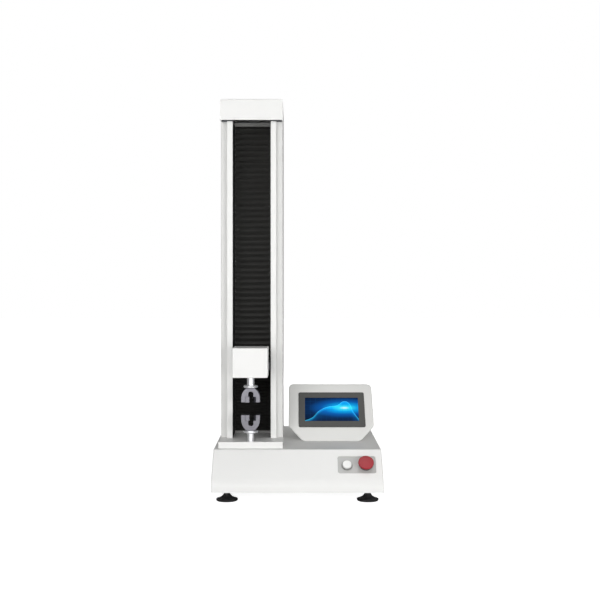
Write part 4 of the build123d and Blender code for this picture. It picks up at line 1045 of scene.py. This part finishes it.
@dataclass
class ConsoleHousing:
    """Housing of the display on its wedge-shaped stand.

    The sizes are those of the construction model, which has straight walls. The tapers, by which
    the back is narrower than the face, are judged from the photograph.
    """

    palette: Palette
    foot: Vector = field(default_factory=lambda: Vector((97.7, -41.0, 127.0)) * MM)
    width: float = 247 * MM
    length: float = 207 * MM
    front_depth: float = 24 * MM
    back_depth: float = 28 * MM
    front_taper: float = 11.7 * MM
    back_taper: float = 13.6 * MM
    cut: tuple[float, float] = (41 * MM, 52 * MM)
    top_round: float = 15 * MM
    side_round: float = 6.3 * MM
    foot_round: float = 8.7 * MM
    rim: float = 4 * MM
    window: tuple[float, float] = (181 * MM, 114 * MM)
    window_middle: tuple[float, float] = (2.3 * MM, 109.5 * MM)
    window_depth: float = 20 * MM
    stand_width: float = 150 * MM
    stand_depth: float = 150 * MM
    stand_reach: float = 158 * MM
    stand_rear: float = 30 * MM
    stand_edge: float = 1.2 * MM
    smooth: float = radians(28)
    stand_smooth: float = radians(40)

    def build(self) -> None:
        """Make the front shell and the stand in place of their construction shapes."""
        front = self.plate(0.0, self.front_depth, 0.0, self.front_taper)
        self.round_rim(front)
        self.cut_window(front)
        self.seat(front)
        front.name = "console_front_sheet"
        finish_piece(front, self.palette["console_powder_coat"], Body.FRAME)
        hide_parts("console_front")
        back = self.plate(self.front_depth, self.back_depth, self.front_taper, self.back_taper)
        self.seat(back)
        stand = join([back, self.wedge()], "console_stand_sheet")
        finish_piece(stand, self.palette["console_powder_coat"], Body.FRAME)
        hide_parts("console_stand")

    def outline(self) -> bpy.types.Object:
        """Draw the console's outline: cut corners below and round corners above.

        Returns:
            The flat outline, on the console's own axes.
        """
        deselect_everything()
        bpy.ops.mesh.primitive_plane_add(size=1.0, location=(0, self.length / 2, 0))
        piece = bpy.context.object
        piece.scale = (self.width, self.length, 1.0)
        settle(piece)
        cut_x, cut_y = self.cut
        rounds = ((self.length, self.top_round), (cut_y, self.side_round), (0.0, self.foot_round))
        with edit_mode():
            for side in (-1, 1):
                bpy.ops.mesh.select_all(action="SELECT")
                bpy.ops.mesh.bisect(
                    plane_co=(side * self.width / 2, cut_y, 0),
                    plane_no=Vector((side * cut_y, -cut_x, 0)).normalized(),
                    clear_outer=True,
                )
            for height, size in rounds:
                pick(piece, "verts", lambda v: abs(v.co.y - height) < CLOSE)
                bpy.ops.mesh.bevel(offset=size, segments=6, affect="VERTICES")
        return piece

    def plate(
        self, start: float, end: float, inset: float, end_inset: float
    ) -> bpy.types.Object:
        """Raise the outline into a plate that narrows towards the back.

        Args:
            start: Depth of its front behind the console's face.
            end: Depth of its back.
            inset: How far its front lies inside the outline.
            end_inset: How far its back lies inside the outline.

        Returns:
            The plate, still on the console's own axes.
        """
        piece = self.outline()
        with edit_mode():
            bpy.ops.mesh.select_all(action="SELECT")
            self.shrink(0.0, inset, 0.0)
            bpy.ops.transform.translate(value=(0, 0, -start))
            bpy.ops.mesh.extrude_region_move(
                TRANSFORM_OT_translate={"value": (0, 0, start - end)}
            )
            self.shrink(inset, end_inset, -end)
            bpy.ops.mesh.select_all(action="SELECT")
            bpy.ops.mesh.normals_make_consistent(inside=False)
        return piece

    def shrink(self, inset: float, end_inset: float, height: float) -> None:
        """Scale the selection about the outline's middle.

        Args:
            inset: How far it lies inside the outline so far.
            end_inset: How far it is to lie inside the outline.
            height: Its height out of the face.
        """
        across = (self.width - 2 * end_inset) / (self.width - 2 * inset)
        along = (self.length - 2 * end_inset) / (self.length - 2 * inset)
        bpy.ops.transform.resize(
            value=(across, along, 1.0), center_override=(0, self.length / 2, height)
        )

    def round_rim(self, piece: bpy.types.Object) -> None:
        """Round the edge of the front face.

        Args:
            piece: Plate that starts at the face.
        """
        with edit_mode():
            pick(piece, "edges", lambda e: all(abs(v.co.z) < CLOSE for v in e.verts))
            bpy.ops.mesh.bevel(offset=self.rim, segments=4, affect="EDGES")

    def cut_window(self, piece: bpy.types.Object) -> None:
        """Sink the opening that the display's bezel covers.

        Args:
            piece: Front shell, on the console's own axes.
        """
        cutter = new_block((*self.window_middle, 0.0), (*self.window, 2 * self.window_depth))
        hole = piece.modifiers.new("window", "BOOLEAN")
        hole.operation = "DIFFERENCE"
        hole.object = cutter
        apply_modifiers(piece)
        bpy.data.objects.remove(cutter, do_unlink=True)

    def seat(self, piece: bpy.types.Object) -> None:
        """Lean a plate back on the deck and trim what would reach below the deck.

        Args:
            piece: Plate, on the console's own axes.
        """
        piece.data.transform(Matrix.Translation(self.foot) @ console_turn().to_4x4())
        work_on(piece)
        with edit_mode():
            bpy.ops.mesh.select_all(action="SELECT")
            bpy.ops.mesh.bisect(
                plane_co=(0, 0, self.foot.z), plane_no=(0, 0, 1), clear_inner=True, use_fill=True
            )
        bpy.ops.object.shade_smooth_by_angle(angle=self.smooth)

    def wedge(self) -> bpy.types.Object:
        """Model the stand as a prism from the deck up to the back plate.

        Returns:
            The prism, in its place.
        """
        behind = (self.front_depth + self.back_depth) / 2
        foot_y = self.foot.y + behind / cos(CONSOLE_LEAN)
        middle_y = foot_y + self.stand_depth / 2
        middle_z = self.foot.z + self.stand_rear / 2
        lean_y = self.stand_reach * sin(CONSOLE_LEAN)
        lean_z = self.stand_reach * cos(CONSOLE_LEAN) - self.stand_rear
        size = (self.stand_width, self.stand_depth, self.stand_rear)
        piece = new_block((self.foot.x, middle_y, middle_z), size)
        with edit_mode():
            pick(piece, "verts", lambda v: v.co.y < middle_y and v.co.z > middle_z)
            bpy.ops.transform.translate(value=(0, lean_y, lean_z))
            bpy.ops.mesh.select_mode(type="EDGE")
            bpy.ops.mesh.select_all(action="SELECT")
            bpy.ops.mesh.bevel(offset=self.stand_edge, segments=2, affect="EDGES")
        bpy.ops.object.shade_smooth_by_angle(angle=self.stand_smooth)
        return piece


@dataclass
class Display:
    """Lit picture of the display, on the leaning glass."""

    def build(self) -> None:
        """Find the glass from its box and give it its picture."""
        low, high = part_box("display_screen")
        picture = LitPicture(
            "lcd_picture",
            (low + high) / 2,
            console_turn(),
            width=high.x - low.x,
            height=(high.z - low.z) / cos(CONSOLE_LEAN),
        )
        CadFinishes.assign("display_screen", picture.build())


@dataclass(frozen=True)
class Softbox:
    """Square soft lamp that shines from its place towards a target."""

    name: str
    place: tuple[float, float, float]
    target: tuple[float, float, float]
    size: float
    power: float
    lights_matt: bool = True
    lights_gloss: bool = True

    def build(self) -> None:
        """Hang the lamp."""
        data = bpy.data.lights.new(self.name, "AREA")
        data.shape = "SQUARE"
        data.size = self.size
        data.energy = self.power
        lamp = bpy.data.objects.new(self.name, data)
        lamp.location = self.place
        lamp.visible_diffuse = self.lights_matt
        lamp.visible_glossy = self.lights_gloss
        aim = Vector(self.target) - Vector(self.place)
        lamp.rotation_euler = aim.to_track_quat("-Z", "Y").to_euler()
        bpy.context.scene.collection.objects.link(lamp)


SOFTBOXES = (
    # Low in front: lights the pale faces evenly.
    Softbox("key_softbox", (-1.0, -3.4, 0.95), (0.0, 0.0, 0.25), 2.0, 57.0),
    # To the right: lifts the console.
    Softbox("fill_softbox", (1.3, -2.2, 0.45), (0.1, 0.0, 0.2), 0.8, 19.0),
    # Overhead, seen in gloss only: a gleam on the deck and none on matt faces.
    Softbox("gloss_softbox", (0.0, -0.9, 2.9), (0.0, -0.3, 0.2), 2.4, 68.0, lights_matt=False),
    # Behind, on matt faces only: shows the rear in the turned views.
    Softbox("rear_softbox", (1.4, 3.4, 0.8), (0.0, 0.2, 0.5), 2.0, 46.0, lights_gloss=False),
)


@dataclass
class Studio:
    """Plain pale room: floor, soft lights and the photograph's camera."""

    camera_place: tuple[float, float, float] = (-0.0072, -2.860, 0.5596)
    focal_mm: float = 60.0
    sensor_mm: float = 36.0
    shift: tuple[float, float] = (0.009, -0.0207)
    floor_size: float = 30.0
    floor_colour: str = "#F4F4F4"
    floor_lift: float = 0.85
    surroundings: float = 0.27

    def build(self) -> None:
        """Make the floor, the lights, the world and the camera."""
        self.floor()
        for softbox in SOFTBOXES:
            softbox.build()
        self.world()
        self.camera()

    def camera(self) -> None:
        """Set a level camera in front of the machine."""
        data = bpy.data.cameras.new("photo_camera")
        data.lens = self.focal_mm
        data.sensor_width = self.sensor_mm
        data.shift_x, data.shift_y = self.shift
        camera = bpy.data.objects.new("photo_camera", data)
        camera.location = self.camera_place
        camera.rotation_euler = Euler((pi / 2, 0, 0))
        bpy.context.scene.collection.objects.link(camera)
        bpy.context.scene.camera = camera

    def floor(self) -> None:
        """Lay a wide white floor that keeps a soft shadow and is white to the camera."""
        deselect_everything()
        bpy.ops.mesh.primitive_plane_add(size=self.floor_size)
        plane = bpy.context.object
        plane.name = "studio_floor"
        material = bpy.data.materials.new("white_studio_floor")
        material.use_nodes = True
        tree = material.node_tree
        tree.nodes.clear()
        matt = add_node(tree, "ShaderNodeBsdfDiffuse", {"Color": linear(self.floor_colour)})
        seen = add_node(tree, "ShaderNodeLightPath").outputs["Is Camera Ray"]
        lift = calculate(tree, "MULTIPLY", seen, self.floor_lift)
        light = {"Color": linear("#FFFFFF"), "Strength": lift}
        glow = add_node(tree, "ShaderNodeEmission", light)
        layers = {0: matt.outputs["BSDF"], 1: glow.outputs["Emission"]}
        both = add_node(tree, "ShaderNodeAddShader", layers)
        add_node(tree, "ShaderNodeOutputMaterial", {"Surface": both.outputs["Shader"]})
        dress(plane, material)

    def world(self) -> None:
        """Surround the machine with soft grey that is white where the camera sees it."""
        world = bpy.data.worlds.new("studio")
        bpy.context.scene.world = world
        world.use_nodes = True
        tree = world.node_tree
        tree.nodes.clear()
        path = add_node(tree, "ShaderNodeLightPath").outputs
        direct = calculate(tree, "MAXIMUM", path["Is Camera Ray"], path["Is Transmission Ray"])
        inputs = {"Value": direct, "To Min": self.surroundings, "To Max": 1.0}
        level = add_node(tree, "ShaderNodeMapRange", inputs).outputs["Result"]
        light = {"Color": linear("#FFFFFF"), "Strength": level}
        sky = add_node(tree, "ShaderNodeBackground", light)
        add_node(tree, "ShaderNodeOutputWorld", {"Surface": sky.outputs["Background"]})


def main() -> None:
    """Build the machine's looks in order and report each step."""
    logging.basicConfig(level=logging.INFO, format="%(message)s")
    bpy.context.scene.view_settings.view_transform = "Standard"
    palette = Palette()
    palette.build()
    for builder in (
        Studio(),
        CadFinishes(palette),
        Bellows(palette),
        ChannelShadeStrips(palette),
        Fasteners(palette),
        ConsoleHousing(palette),
        Display(),
    ):
        builder.build()
        LOG.info("built %s", type(builder).__name__)


if __name__ == "__main__":
    main()
